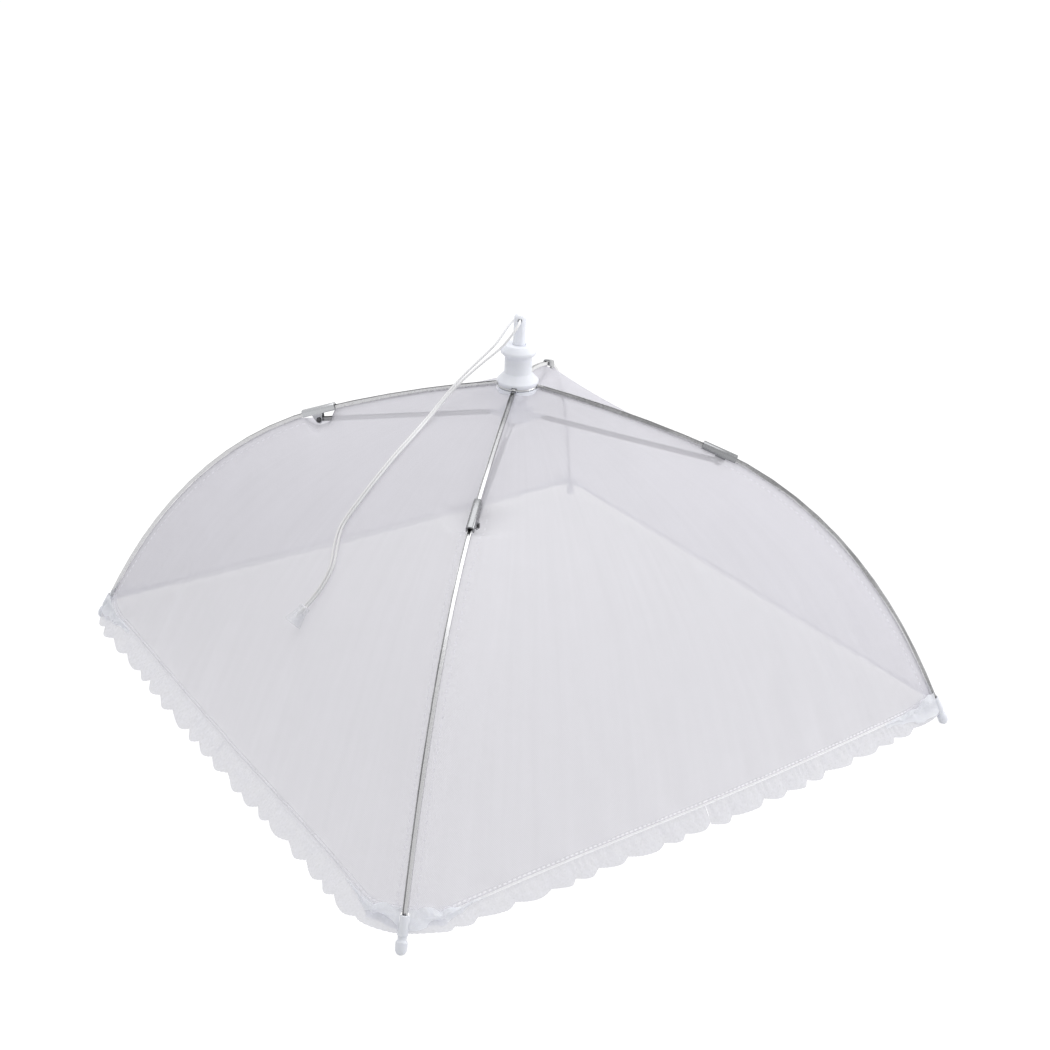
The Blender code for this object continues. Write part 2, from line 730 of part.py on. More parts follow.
def lace_mesh(frame_place, mirrored):
    """Gathered edging from the hem to just above the table, under half a gore."""
    gore_out = Vector((1.0, 1.0, 0.0)).normalized()
    middle = Vector((-1.0, 1.0, 0.0)).normalized()
    last = 1 - lace_end_margin / net_hem_reach
    outside = []
    inside = []
    steps = lace_waves * lace_steps_per_wave
    for row in range(2):
        upper = []
        lower = []
        for step in range(steps + 1):
            wave = math.cos(math.tau * step / lace_steps_per_wave) * lace_wave_height
            if row == 0:
                wave *= lace_top_wave_share
            place = net_point(1.0, last * step / steps)
            place -= Vector((0.0, 0.0, net_thickness + fit_gap + row * lace_height))
            place += gore_out * (wave + row * lace_flare)
            if step == 0:
                place -= middle * net_seam_margin
            upper.append(place - frame_place)
            lower.append(upper[-1] - gore_out * lace_thickness)
        outside.append(upper)
        inside.append(lower)
    return shell("lace_trim", outside, inside, mirrored)


def net_hinge_place():
    """Return the point of a net half's turning axis nearest its rib's hinge.

    The rib turns about its hinge, and the net half about a level line across the gore.
    The half's own turn on the rib is the one that makes up the difference.
    """
    rib_turn = Matrix.Rotation(rib_fold, 3, "Y")
    gore_line = Vector((1.0, -1.0, 0.0)).normalized()
    net_turn = Matrix.Rotation(-net_fold, 3, gore_line)
    reach = net_fold_reach / math.sqrt(2)
    centre = Vector((reach - hinge_radius, reach, 0.0))
    shift = rib_turn.transposed() @ (centre - net_turn @ centre)
    turn = rib_turn.transposed() @ net_turn
    axis, angle = turn.to_quaternion().to_axis_angle()
    shift -= axis * shift.dot(axis)
    return (shift + axis.cross(shift) / math.tan(angle / 2)) / 2


def smooth_line(points, step):
    """Read points at even steps from a smooth curve through the route's points."""
    places = [Vector(point) * MM for point in points]
    knots = [0.0]
    for here, on in zip(places, places[1:]):
        knots.append(knots[-1] + (on - here).length)
    slopes = []
    for index in range(len(places)):
        low = max(index - 1, 0)
        high = min(index + 1, len(places) - 1)
        slopes.append((places[high] - places[low]) / (knots[high] - knots[low]))
    count = round(knots[-1] / step)
    line = []
    for number in range(count + 1):
        at = knots[-1] * number / count
        index = max(i for i in range(len(places) - 1) if knots[i] <= at)
        span = knots[index + 1] - knots[index]
        t = (at - knots[index]) / span
        line.append(places[index] * (2 * t ** 3 - 3 * t ** 2 + 1)
                    + slopes[index] * span * (t ** 3 - 2 * t ** 2 + t)
                    + places[index + 1] * (3 * t ** 2 - 2 * t ** 3)
                    + slopes[index + 1] * span * (t ** 3 - t ** 2))
    return line


def add_strand(name, route, material, parent, place):
    """Add one strand of the pull cord as a bevelled curve."""
    line = smooth_line(route, cord_step)
    curve = bpy.data.curves.new(name, "CURVE")
    curve.dimensions = "3D"
    curve.bevel_depth = cord_radius
    curve.bevel_resolution = strand_side_steps
    curve.use_fill_caps = True
    spline = curve.splines.new("POLY")
    spline.points.add(len(line) - 1)
    for point, at in zip(spline.points, line):
        point.co = (*(at - place), 1.0)
    curve.materials.append(material)
    strand = bpy.data.objects.new(name, curve)
    bpy.context.scene.collection.objects.link(strand)
    strand.parent = parent
    return strand


def bead_mesh():
    """Bell with its cavity open at the wide end."""
    shoulder = bead_collar_length + bead_wall
    cavity = bead_length - bead_cavity_length
    outline = ((0.0, 0.0), (bead_narrow_radius, 0.0), (bead_collar_radius, bead_wall / 2),
               (bead_collar_radius, bead_collar_length), (bead_narrow_radius, shoulder),
               (bead_wide_radius - bead_wall / 2, bead_length - shoulder),
               (bead_wide_radius, bead_length), (bead_wide_radius - bead_wall, bead_length),
               (bead_narrow_radius - bead_wall / 2, cavity), (0.0, cavity))
    return turned("cord_bead", outline, turned_steps // 2)


def build_hub(plastic, steel):
    """Add the hub and its ring wire."""
    place = (0.0, 0.0, hinge_height)
    add_piece("hub_body", hub_mesh(), plastic, place=place)
    add_piece("hub_ring_wire", ring_wire_mesh(), steel, place=place)


def build_runner(plastic, rod_plastic):
    """Add the sliding rod and runner under their own frame."""
    height = hinge_height - pin_drop
    frame = add_frame("runner_slide", (0.0, 0.0, height))
    add_piece("runner", runner_mesh(), plastic, frame)
    add_piece("pull_rod", rod_mesh(), rod_plastic, frame, (0.0, 0.0, -height))
    return frame


def build_ribs(materials):
    """Add the four ribs with their clips, caps, struts and net halves."""
    hinge = Vector((hinge_radius, 0.0, hinge_height))
    strut_place = strut_pivot()
    strut_length, strut_turn = strut_line()
    pin_place = strut_turn @ Vector((strut_length, 0.0, 0.0))
    rib = rib_mesh()
    clip = clip_mesh()
    clip_width = rib_width + 2 * (fit_gap + clip_wall)
    rivet = headed_pin("clip_rivet", rivet_radius, rivet_head_radius, rivet_head_height,
                       clip_width)
    pin = headed_pin("strut_pin", pin_radius, pin_head_radius, pin_head_height, strut_width)
    strut = strut_mesh()
    cap = cap_mesh()
    net_places = {}
    nets = {}
    laces = {}
    for side, sign in SIDES.items():
        place = net_hinge_place()
        nets[side] = net_mesh(place, sign < 0)
        laces[side] = lace_mesh(place, sign < 0)
        net_places[side] = (place.x, place.y * sign, place.z)
    for corner, direction in CORNERS.items():
        turn = Matrix.Rotation(direction * DEGREE, 3, "Z")
        frame = add_frame("rib_hinge_" + corner, turn @ hinge, direction * DEGREE)
        add_piece("rib_" + corner, rib, materials["steel"], frame)
        add_piece("clip_" + corner, clip, materials["bright_steel"], frame)
        add_piece("clip_rivet_" + corner, rivet, materials["rivet_steel"], frame, strut_place)
        add_piece("corner_cap_" + corner, cap, materials["plastic"], frame)
        swing = add_frame("strut_hinge_" + corner, strut_place, parent=frame)
        add_piece("strut_" + corner, strut, materials["strut_steel"], swing)
        add_piece("strut_pin_" + corner, pin, materials["rivet_steel"], swing, pin_place)
        for side in SIDES:
            name = corner + "_" + side
            leaf = add_frame("net_hinge_" + name, net_places[side], parent=frame)
            add_piece("net_panel_" + name, nets[side], materials["net"], leaf)
            add_piece("lace_trim_" + name, laces[side], materials["lace"], leaf)


def build_cord(frame, cord, bead):
    """Add the two strands and the bead on the cord's own frame at the rod's eye."""
    height = rod_top_height - rod_eye_drop
    place = Vector((0.0, 0.0, height))
    swing = add_frame("cord_swing", (0.0, 0.0, height - hinge_height + pin_drop), parent=frame)
    add_strand("cord_strand_a", STRAND_A_ROUTE, cord, swing, place)
    add_strand("cord_strand_b", STRAND_B_ROUTE, cord, swing, place)
    mesh = bead_mesh()
    turn = Vector(bead_direction).to_track_quat("Z", "X").to_matrix().to_4x4()
    mesh.transform(Matrix.Translation(Vector(bead_place) - place) @ turn)
    add_piece("cord_bead", mesh, bead, swing)


def main():
    """Build the whole cover."""
    clear_scene()
    materials = {
        "steel": make_material("galvanised_steel", (0.38, 0.38, 0.39), 0.35, 1.0),
        "bright_steel": make_material("bright_steel", (0.72, 0.73, 0.75), 0.22, 1.0),
        "rivet_steel": make_material("rivet_steel", (0.30, 0.30, 0.31), 0.30, 1.0),
        "strut_steel": make_material("strut_steel", (0.60, 0.60, 0.62), 0.35, 1.0),
        "plastic": make_material("white_plastic", (0.80, 0.82, 0.88), 0.35),
        "net": make_material("white_net", (0.80, 0.80, 0.84), 0.80),
        "lace": make_material("white_lace", (0.84, 0.85, 0.88), 0.75),
    }
    rod_plastic = make_material("rod_plastic", (0.80, 0.82, 0.88), 0.35)
    runner_plastic = make_material("runner_plastic", (0.78, 0.80, 0.86), 0.40)
    cord = make_material("white_cord", (0.88, 0.88, 0.88), 0.70)
    bead = make_material("clear_bead", (0.85, 0.86, 0.90), 0.20)
    build_hub(materials["plastic"], materials["steel"])
    frame = build_runner(runner_plastic, rod_plastic)
    build_ribs(materials)
    build_cord(frame, cord, bead)


main()
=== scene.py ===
"""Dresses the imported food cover: its net, lace, cord, plastics and steel, on a white stage.

Metres, +Z up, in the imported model's own frame: the table is at height 0, and the hub's
axis runs up through the origin. A gore is a quarter of the net, between two ribs. In a
gore's frame a point is (across, outward, height), where "across" is the distance to the
left of the gore's middle, seen from the hub.
"""
import json
import math
import random
from bisect import bisect_left
from functools import partialmethod

import bmesh
import bpy
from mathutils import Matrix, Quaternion, Vector

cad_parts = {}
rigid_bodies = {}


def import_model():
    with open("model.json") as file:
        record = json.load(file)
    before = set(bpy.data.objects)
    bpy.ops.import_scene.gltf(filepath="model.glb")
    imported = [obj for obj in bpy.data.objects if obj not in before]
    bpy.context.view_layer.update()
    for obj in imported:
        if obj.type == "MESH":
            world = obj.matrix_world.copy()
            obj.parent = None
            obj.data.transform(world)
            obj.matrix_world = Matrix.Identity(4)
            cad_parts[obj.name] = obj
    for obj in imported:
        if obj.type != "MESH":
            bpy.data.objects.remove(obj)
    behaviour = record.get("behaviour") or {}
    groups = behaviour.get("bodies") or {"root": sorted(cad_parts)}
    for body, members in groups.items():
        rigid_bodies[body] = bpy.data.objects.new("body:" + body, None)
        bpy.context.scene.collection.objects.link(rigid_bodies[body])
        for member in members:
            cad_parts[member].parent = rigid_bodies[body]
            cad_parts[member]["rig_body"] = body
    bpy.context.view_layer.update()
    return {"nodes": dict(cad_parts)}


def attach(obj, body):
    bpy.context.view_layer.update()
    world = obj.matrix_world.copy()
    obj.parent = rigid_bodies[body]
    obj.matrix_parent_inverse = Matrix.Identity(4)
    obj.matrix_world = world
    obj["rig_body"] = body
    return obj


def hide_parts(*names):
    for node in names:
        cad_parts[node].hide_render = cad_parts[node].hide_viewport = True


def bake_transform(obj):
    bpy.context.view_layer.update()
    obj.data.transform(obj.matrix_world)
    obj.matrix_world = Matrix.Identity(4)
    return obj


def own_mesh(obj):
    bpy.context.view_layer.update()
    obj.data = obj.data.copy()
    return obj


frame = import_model()

bl_info = {
    "name": "Mesh Food Cover",
    "version": (1, 0, 0),
    "blender": (4, 5, 0),
    "location": "View3D > Sidebar > Food Cover",
    "description": "Dresses a fold-up mesh food cover piece by piece",
    "category": "Object",
}

DEGREE = math.pi / 180.0

# Corners of the cover and the direction of each one's rib from the hub
CORNERS = {"left": -135.0, "front": -45.0, "right": 45.0, "back": 135.0}
# The two halves of the net on each rib, to its left and right seen from the hub
SIDES = {"a": 1.0, "b": -1.0}

# The rib's curve, as in the model
HINGE = Vector((0.0115, 0.0, 0.198))
RIB_UPPER_LENGTH = 0.117
RIB_LENGTH = 0.3343
RIB_TOP_SLOPE = 10.3
RIB_UPPER_TURN = 9.4
RIB_LOWER_SLOPE = 20.0
RIB_LOWER_TURN = 43.3
RIB_UNDERSIDE = -0.0014
RIB_DEPTH = 0.0022
RIB_STEPS = 200

# The net's outline, as in the model
NET_START = 0.0014
NET_END_MARGIN = 0.0013
NET_RUN = RIB_LENGTH - NET_END_MARGIN - NET_START
GORE_TOP = Vector((0.0127, 0.195))
GORE_HEM = Vector((0.198, 0.012))
GORE_BOW = 0.036
LACE_END = 0.988

# The sizes on which the cloths' patterns are laid: across, and up and down
NET_FLAT = (0.2, 0.316)
LACE_FLAT = (0.25, 0.0148)
GATHER_DEPTH = 0.012

# Where the lace starts to draw in to the corner cap; the cap's radius, mouth and reach
# along the rib's line, and its girth as a share of the model's
LACE_DRAW = 0.90
CAP_RADIUS = 0.0026
CAP_MOUTH = 0.0012
CAP_REACH = 0.0118
CAP_GIRTH = 0.84

# How far the hem stands out along each half side, and how far out and down it sags
# towards the corner
HEM_SLACK = {
    "left_a": (0.0020, 0.0030, 0.0030), "front_b": (0.0025, 0.0045, 0.0060),
    "front_a": (0.0, 0.0035, 0.0060), "right_b": (0.0, 0.0010, 0.0030),
    "right_a": (0.0, 0.0010, 0.0025), "back_b": (0.0, 0.0010, 0.0025),
    "back_a": (0.0, 0.0010, 0.0025), "left_b": (0.0, 0.0010, 0.0025),
}
# Where the slack starts, as a share of the way down, and where along the hem it peaks
SLACK_START = 0.78
SLACK_PEAK = 0.87
SLACK_CURVE = 2.6
# The half sides nearest the camera: their net is painted a little darker than the far sides', as
# shade
NEAR_SIDES = ("left_a", "front_b", "front_a", "right_b")
SOFT_HEMS = ("left_a", "front_b")
# How far the lace stands out, as a share of its flare
LACE_STAND = {"left_a": 1.10, "front_b": 1.05, "front_a": 0.78, "right_b": 0.80}

# Soft folds in each half of the net: place across, lean, height and width
CREASES = (
    (0.155, 0.30, 0.0011, 0.0026), (0.118, 0.18, 0.0009, 0.0034),
    (0.060, -0.10, 0.0005, 0.0030),
)
# The folded hem's section: how far up it and how far out, as shares of width and rise
HEM_PROFILE = (
    (0.0, 0.0), (0.02, 0.7), (0.04, 1.0), (0.09, 0.85), (0.16, 0.45), (0.24, 0.15),
    (0.40, 0.08), (0.60, 0.1), (0.62, 0.7), (0.64, 1.0), (0.69, 0.85), (0.76, 0.45),
    (0.84, 0.15), (1.0, 0.02),
)

# The opening in the net at each clip: its place along the rib, half length, how far the
# net's edge drops and stands aside there, and how far from the rib each of these reaches
CLIP_LENGTH = 0.1180
CLIP_HALF = 0.0085
CLIP_DROP = 0.0074
CLIP_ASIDE = 0.0030
CLIP_DROP_REACH = 0.016
CLIP_ASIDE_REACH = 0.006
# The clip that lies over the closed net
CLOSED_CLIP = "right_rib"

# The cord's routes from the rod's eye to the bead
STRAND_A = (
    (-0.00012, 0.00009, 0.239), (-0.0032, 0.0024, 0.239), (-0.006, 0.0032, 0.2382),
    (-0.008, 0.0012, 0.2359), (-0.008, -0.0026, 0.233), (-0.0066, -0.007, 0.2296),
    (-0.0056, -0.0124, 0.2247), (-0.0068, -0.017, 0.2199), (-0.0086, -0.0221, 0.2148),
    (-0.0116, -0.0323, 0.205), (-0.0137, -0.042, 0.1946), (-0.0132, -0.0545, 0.1834),
    (-0.0086, -0.0699, 0.1748), (-0.0054, -0.081, 0.1688), (-0.0024, -0.0912, 0.1626),
    (0.0004, -0.1018, 0.1554), (0.0031, -0.1123, 0.1476), (0.0048, -0.1202, 0.1412),
    (0.0074, -0.1269, 0.1352), (0.0134, -0.1334, 0.129), (0.0198, -0.1385, 0.1237),
    (0.0224, -0.1413, 0.1206), (0.0238, -0.144, 0.1177), (0.0247, -0.147, 0.1142),
    (0.0251, -0.1499, 0.1109), (0.0247, -0.154, 0.1062), (0.0241, -0.1567, 0.1034),
    (0.024, -0.1581, 0.1021),
)
STRAND_B = (
    (0.00012, -0.00009, 0.239), (0.0032, -0.0024, 0.239), (0.0054, -0.0046, 0.2378),
    (0.0056, -0.0074, 0.2346), (0.0036, -0.01, 0.2295), (0.0006, -0.013, 0.224),
    (-0.0018, -0.0171, 0.2195), (-0.0042, -0.0219, 0.215), (-0.0084, -0.0322, 0.2052),
    (-0.0115, -0.0421, 0.1948), (-0.0111, -0.0548, 0.1833), (-0.0064, -0.0703, 0.1746),
    (-0.0032, -0.0814, 0.1686), (-0.0002, -0.0915, 0.1624), (0.0026, -0.1021, 0.1552),
    (0.0053, -0.1126, 0.1474), (0.0069, -0.1203, 0.141), (0.0094, -0.1261, 0.1358),
    (0.0152, -0.132, 0.1302), (0.0217, -0.1373, 0.1247), (0.0244, -0.1403, 0.1215),
    (0.0259, -0.1432, 0.1184), (0.0268, -0.1466, 0.1146), (0.0272, -0.1497, 0.1111),
    (0.0267, -0.1539, 0.1063), (0.0261, -0.1567, 0.1034), (0.026, -0.1581, 0.1021),
)

# What the settings of one kind share
LENGTH = {"unit": "LENGTH", "precision": 4}
COLOUR = {"subtype": "COLOR", "min": 0.0, "max": 1.0}
SHARE = {"subtype": "FACTOR", "min": 0.0, "max": 1.0}


class FoodCoverSizes(bpy.types.PropertyGroup):
    """Sizes of the sewn pieces."""

    hem_width: bpy.props.FloatProperty(
        name="Hem Width", description="Height of the hem band", default=0.0037, **LENGTH)
    stitch_rise: bpy.props.FloatProperty(
        name="Stitch Rise", description="How far a stitched fold stands off the hem",
        default=0.0007, **LENGTH)
    scallops: bpy.props.IntProperty(
        name="Scallops", description="Scallops of the lace along half a gore", default=10)
    lace_drop: bpy.props.FloatProperty(
        name="Lace Drop", description="How far the lace hangs below the hem",
        default=0.0098, **LENGTH)
    lace_flare: bpy.props.FloatProperty(
        name="Lace Flare", description="How far the lace's edge stands out from the hem",
        default=0.0105, **LENGTH)
    lace_wave: bpy.props.FloatProperty(
        name="Lace Wave", description="Half height of the waves at the lace's edge",
        default=0.0010, **LENGTH)
    gather_reach: bpy.props.FloatProperty(
        name="Gather Reach", description="How far the gathered lace runs from a corner",
        default=0.046, **LENGTH)
    gather_radius: bpy.props.FloatProperty(
        name="Gather Radius", description="Thickness of the gathered lace at a corner",
        default=0.0042, **LENGTH)
    cord_diameter: bpy.props.FloatProperty(
        name="Cord Diameter", description="Diameter of the pull cord", default=0.0016,
        **LENGTH)
    cord_lay: bpy.props.FloatProperty(
        name="Cord Lay", description="Length in which the cord's yarns make one turn",
        default=0.0052, **LENGTH)
    mesh_pitch: bpy.props.FloatProperty(
        name="Net Mesh", description="Distance between the net's holes", default=0.0011,
        **LENGTH)


class FoodCoverColours(bpy.types.PropertyGroup):
    """Colours and clearness of the finishes."""

    net: bpy.props.FloatVectorProperty(
        name="Net", description="Colour of the net", default=(0.755, 0.747, 0.79), **COLOUR)
    net_cover: bpy.props.FloatProperty(
        name="Net Cover", description="Share of what is behind that the net hides",
        default=0.78, **SHARE)
    lace: bpy.props.FloatVectorProperty(
        name="Lace", description="Colour of the lace and hem", default=(0.70, 0.70, 0.74),
        **COLOUR)
    gathers: bpy.props.FloatVectorProperty(
        name="Gathers", description="Colour of the bunched lace at the corners",
        default=(0.93, 0.945, 1.0), **COLOUR)
    lace_cover: bpy.props.FloatProperty(
        name="Lace Cover", description="Share of what is behind that the lace hides",
        default=0.78, **SHARE)
    cord: bpy.props.FloatVectorProperty(
        name="Cord", description="Colour of the pull cord", default=(0.90, 0.90, 0.91),
        **COLOUR)
    bead: bpy.props.FloatVectorProperty(
        name="Bead", description="Colour of the clear bead", default=(0.80, 0.81, 0.85),
        **COLOUR)
    plastic: bpy.props.FloatVectorProperty(
        name="Plastic", description="Colour of the white plastic",
        default=(0.86, 0.88, 0.94), **COLOUR)
    rib: bpy.props.FloatVectorProperty(
        name="Rib Steel", description="Colour of the ribs' galvanised steel",
        default=(0.58, 0.58, 0.59), **COLOUR)
    strut: bpy.props.FloatVectorProperty(
        name="Strut Steel", description="Colour of the struts' steel",
        default=(0.30, 0.30, 0.31), **COLOUR)
    clip: bpy.props.FloatVectorProperty(
        name="Clip Steel", description="Colour of the clips' bright steel",
        default=(0.60, 0.61, 0.63), **COLOUR)


class FoodCoverStage(bpy.types.PropertyGroup):
    """The camera, the floor and the light."""

    lens: bpy.props.FloatProperty(
        name="Lens", description="Focal length in millimetres", default=53.11)
    azimuth: bpy.props.FloatProperty(
        name="Azimuth", description="Side the camera looks from",
        default=54.04 * DEGREE, subtype="ANGLE")
    elevation: bpy.props.FloatProperty(
        name="Elevation", description="Camera's angle above the horizon",
        default=25.91 * DEGREE, subtype="ANGLE")
    roll: bpy.props.FloatProperty(
        name="Roll", description="Camera's turn about its own line of sight",
        default=2.50 * DEGREE, subtype="ANGLE")
    distance: bpy.props.FloatProperty(
        name="Distance", description="Distance from the camera to its target",
        default=0.9837, **LENGTH)
    target: bpy.props.FloatVectorProperty(
        name="Target", description="Point that the camera looks at",
        default=(-0.0019, 0.0115, 0.1), subtype="TRANSLATION", unit="LENGTH")
    key_power: bpy.props.FloatProperty(
        name="Key Power", description="Power of the large lamp", default=11.5,
        unit="POWER")
    fill_power: bpy.props.FloatProperty(
        name="Fill Power", description="Power of the lamp on the right", default=5.0,
        unit="POWER")
    world_strength: bpy.props.FloatProperty(
        name="World Strength", description="Light from all round", default=0.60)
    floor_glow: bpy.props.FloatProperty(
        name="Floor Glow", description="Share of the floor that shows plain white",
        default=0.72, **SHARE)


def sizes():
    """Return the sizes of the sewn pieces."""
    return bpy.context.scene.food_cover_sizes


def colours():
    """Return the colours of the finishes."""
    return bpy.context.scene.food_cover_colours


class Level:
    """A number in a material's nodes: sums on it add the Math nodes for them."""

    def __init__(self, finish, socket):
        self.finish = finish
        self.socket = socket

    def join(self, operation, *others):
        """Add one Math node on this number and others."""
        inputs = dict(enumerate((self, *others)))
        return self.finish.node("Math", {"operation": operation}, inputs)

    __add__ = __radd__ = partialmethod(join, "ADD")
    __mul__ = __rmul__ = partialmethod(join, "MULTIPLY")
    __sub__ = partialmethod(join, "SUBTRACT")
    sine = partialmethod(join, "SINE")
    size = partialmethod(join, "ABSOLUTE")

    def __rsub__(self, other):
        return self.join("MULTIPLY_ADD", -1.0, other)

    def greatest(self, *others):
        """Return the greatest of it and the others."""
        result = self
        for other in others:
            result = result.join("MAXIMUM", other)
        return result

    def smooth(self, low, high):
        """Return a smooth rise from 0 at the low value to 1 at the high one."""
        settings = {"interpolation_type": "SMOOTHSTEP", "clamp": True}
        return self.finish.node("MapRange", settings, {0: self, 1: low, 2: high})


class Finish:
    """A material with one Principled shader, built a node at a time."""

    def __init__(self, name, colour, roughness, metallic=0.0):
        self.colour = tuple(colour)
        self.material = bpy.data.materials.new(name)
        self.material.use_nodes = True
        self.tree = self.material.node_tree
        self.shader = self.tree.nodes["Principled BSDF"]
        self.put("Base Color", (*colour, 1.0))
        self.put("Roughness", roughness)
        self.put("Metallic", metallic)

    def connect(self, value, socket):
        """Link a node's output to a socket, or set the socket's own value."""
        if isinstance(value, Level):
            self.tree.links.new(value.socket, socket)
        else:
            socket.default_value = value

    def put(self, name, value):
        """Give one of the shader's sockets a value or a link."""
        self.connect(value, self.shader.inputs[name])

    def node(self, kind, settings=None, inputs=None, output=0):
        """Add a node with these settings and sockets, and return one of its outputs."""
        node = self.tree.nodes.new("ShaderNode" + kind)
        for name, value in (settings or {}).items():
            setattr(node, name, value)
        for name, value in (inputs or {}).items():
            self.connect(value, node.inputs[name])
        return Level(self, node.outputs[output])

    def place(self, scale=1.0):
        """Return the point on the piece, in its own coordinates."""
        point = self.node("TexCoord", output="Object")
        return self.node("Mapping", {}, {"Vector": point, "Scale": (scale,) * 3})

    def split(self, point):
        """Return a point's three numbers."""
        first = self.node("SeparateXYZ", {}, {0: point})
        return [Level(self, socket) for socket in first.socket.node.outputs]

    def cloth_place(self):
        """Return the two distances on the piece's own map of its cloth."""
        return self.split(self.node("TexCoord", output="UV"))[:2]

    def weave(self, across, down, pitch):
        """Return a pattern of holes, from -1 to 1, at an even pitch."""
        turns = math.tau / pitch
        return (across * turns).sine() * (down * turns).sine()

    def noise(self, place, scale, detail=2.0):
        """Return a smooth random number from 0 to 1."""
        inputs = {"Vector": place, "Scale": scale, "Detail": detail}
        return self.node("TexNoise", {}, inputs)

    def shade(self, factor, dark, light):
        """Return a colour between two."""
        inputs = {0: factor, 6: (*dark, 1.0), 7: (*light, 1.0)}
        return self.node("Mix", {"data_type": "RGBA"}, inputs, 2)

    def tint(self, factor, dark, light):
        """Colour the piece between a darker and a lighter share of its colour."""
        mixed = self.shade(factor, scaled(self.colour, dark), scaled(self.colour, light))
        self.put("Base Color", mixed)
        return mixed

    def relief(self, height, distance):
        """Raise the surface by a height pattern, and return its direction."""
        inputs = {"Height": height, "Distance": distance, "Strength": 1.0}
        normal = self.node("Bump", {}, inputs)
        self.put("Normal", normal)
        return normal

    def see_through(self, colour, normal, cover, passed):
        """Make a cloth: light passes its threads, and its holes show what is behind."""
        lit = Level(self, self.shader.outputs[0])
        behind = self.node("BsdfTranslucent", {}, {"Color": colour, "Normal": normal})
        threads = self.node("MixShader", {}, {0: passed, 1: lit, 2: behind})
        hole = self.node("BsdfTransparent")
        cloth = self.node("MixShader", {}, {0: cover, 1: hole, 2: threads})
        self.connect(cloth, self.tree.nodes["Material Output"].inputs["Surface"])


def scaled(colour, share):
    """Return a colour made darker or lighter."""
    return tuple(min(1.0, part * share) for part in colour)


def net_finish(name, light, passed):
    """Sheer polyester net: fine holes in rows, a little uneven, with a soft sheen."""
    # The colour is scaled by light: painted light, lighter for the far half sides and a little
    # darker for the near ones
    finish = Finish(name, scaled(colours().net, light), 0.72)
    across, down = finish.cloth_place()
    holes = finish.weave(across, down, sizes().mesh_pitch).smooth(0.15, 0.75)
    cloud = finish.noise(finish.place(), 22.0, 3.0)
    cover = colours().net_cover
    pulled = finish.node("CombineXYZ", {}, {0: across * 150.0, 1: down * 9.0})
    tone = cloud * 0.5 + finish.noise(pulled, 1.0, 2.0) * 0.5
    part = down * (1.0 / NET_FLAT[1])
    reach = part * (0.215 - part * 0.014) + 0.009
    gap = (1.0 - across * (1.0 / NET_FLAT[0])) * reach
    dashes = (down * (math.tau / 0.0042)).sine().smooth(-0.2, 0.4) * part.smooth(0.3, 0.42)
    seam = (gap - 0.0056).size().smooth(0.0007, 0.0003) * dashes
    tint = finish.tint(tone + seam * 1.6, 0.94, 1.06)
    finish.put("Sheen Weight", 0.15)
    finish.put("Sheen Roughness", 0.5)
    normal = finish.relief(1.0 - holes, 0.00005)
    share = (cloud - 0.5) * 0.04 + (cover + 0.04) - holes * 0.10 + seam * 0.2
    finish.see_through(tint, normal, share, passed)
    return finish.material


def hem_finish(name, crisp):
    """Folded hem band, with two rows of stitches on its raised folds, crisp or soft."""
    finish = Finish(name, colours().lace, 0.68)
    across, down = finish.cloth_place()
    stitches = (across * (math.tau / 0.0032)).sine().smooth(-0.6, 0.2)
    edge = (down - 0.0004).size().smooth(0.0012, 0.0008)
    seam = (down - 0.0026).size().smooth(0.0007, 0.0003)
    open_part = across.smooth(0.182, 0.170)
    rows = (edge + seam * (stitches * 0.24 + 0.52)) * crisp * (open_part * 0.85 + 0.15)
    thread = rows * (stitches * 0.15 + 0.85) + (1.0 - crisp) * 0.4
    tint = finish.tint(thread, 1.15, 1.42)
    normal = finish.relief(thread, 0.00006)
    finish.put("Sheen Weight", 0.2)
    share = rows * 0.84 + (0.14 + (1.0 - crisp) * 0.22)
    finish.see_through(tint, normal, share, 0.35)
    return finish.material


def lace_finish():
    """Gathered lace: a fine ground with eyelets and a corded scalloped edge."""
    finish = Finish("white lace", colours().lace, 0.70)
    across, down = finish.cloth_place()
    ground = finish.weave(across, down, 0.0009).smooth(0.0, 0.7)
    motif = (across * (math.tau / 0.0063)).sine() * (down * (math.tau / 0.0058)).sine()
    eyelets = motif.smooth(0.55, 0.85)
    cloud = finish.noise(finish.place(), 190.0, 3.0).smooth(0.3, 0.7)
    cover = colours().lace_cover
    thread = cloud * 0.6 + (0.5 - ground * 0.2 - eyelets * 0.2)
    tint = finish.tint(thread, 0.95, 1.06)
    normal = finish.relief(thread, 0.0002)
    share = (cloud - 0.5) * 0.14 + cover - eyelets * 0.05 - ground * 0.05
    finish.see_through(tint, normal, share, 0.58)
    return finish.material


def gather_finish():
    """Bunched lace at the corners, thick enough to be nearly solid white."""
    finish = Finish("gathered lace", colours().gathers, 0.72)
    across, down = finish.cloth_place()
    ground = finish.weave(across, down, 0.0010).smooth(0.0, 0.7)
    folds = finish.noise(finish.place(), 240.0, 2.0)
    tint = finish.tint(folds, 0.95, 1.05)
    normal = finish.relief(folds + ground * 0.15, 0.00025)
    finish.see_through(tint, normal, 0.95 - ground * 0.06, 0.52)
    return finish.material


def cord_finish():
    """Twisted white cord with fine fibres: painted shade in the grooves between its yarns, and
    darker along the lower part of its run.
    """
    finish = Finish("white cord", colours().cord, 0.65)
    painted_groove_shade = finish.cloth_place()[0]
    height = finish.split(finish.place())[2]
    tone = painted_groove_shade.smooth(0.25, 0.75) * 0.4 + height.smooth(0.145, 0.185) * 0.6
    finish.tint(tone, 0.80, 1.05)
    finish.relief(finish.noise(finish.place(900.0), 2.0, 3.0), 0.00006)
    return finish.material


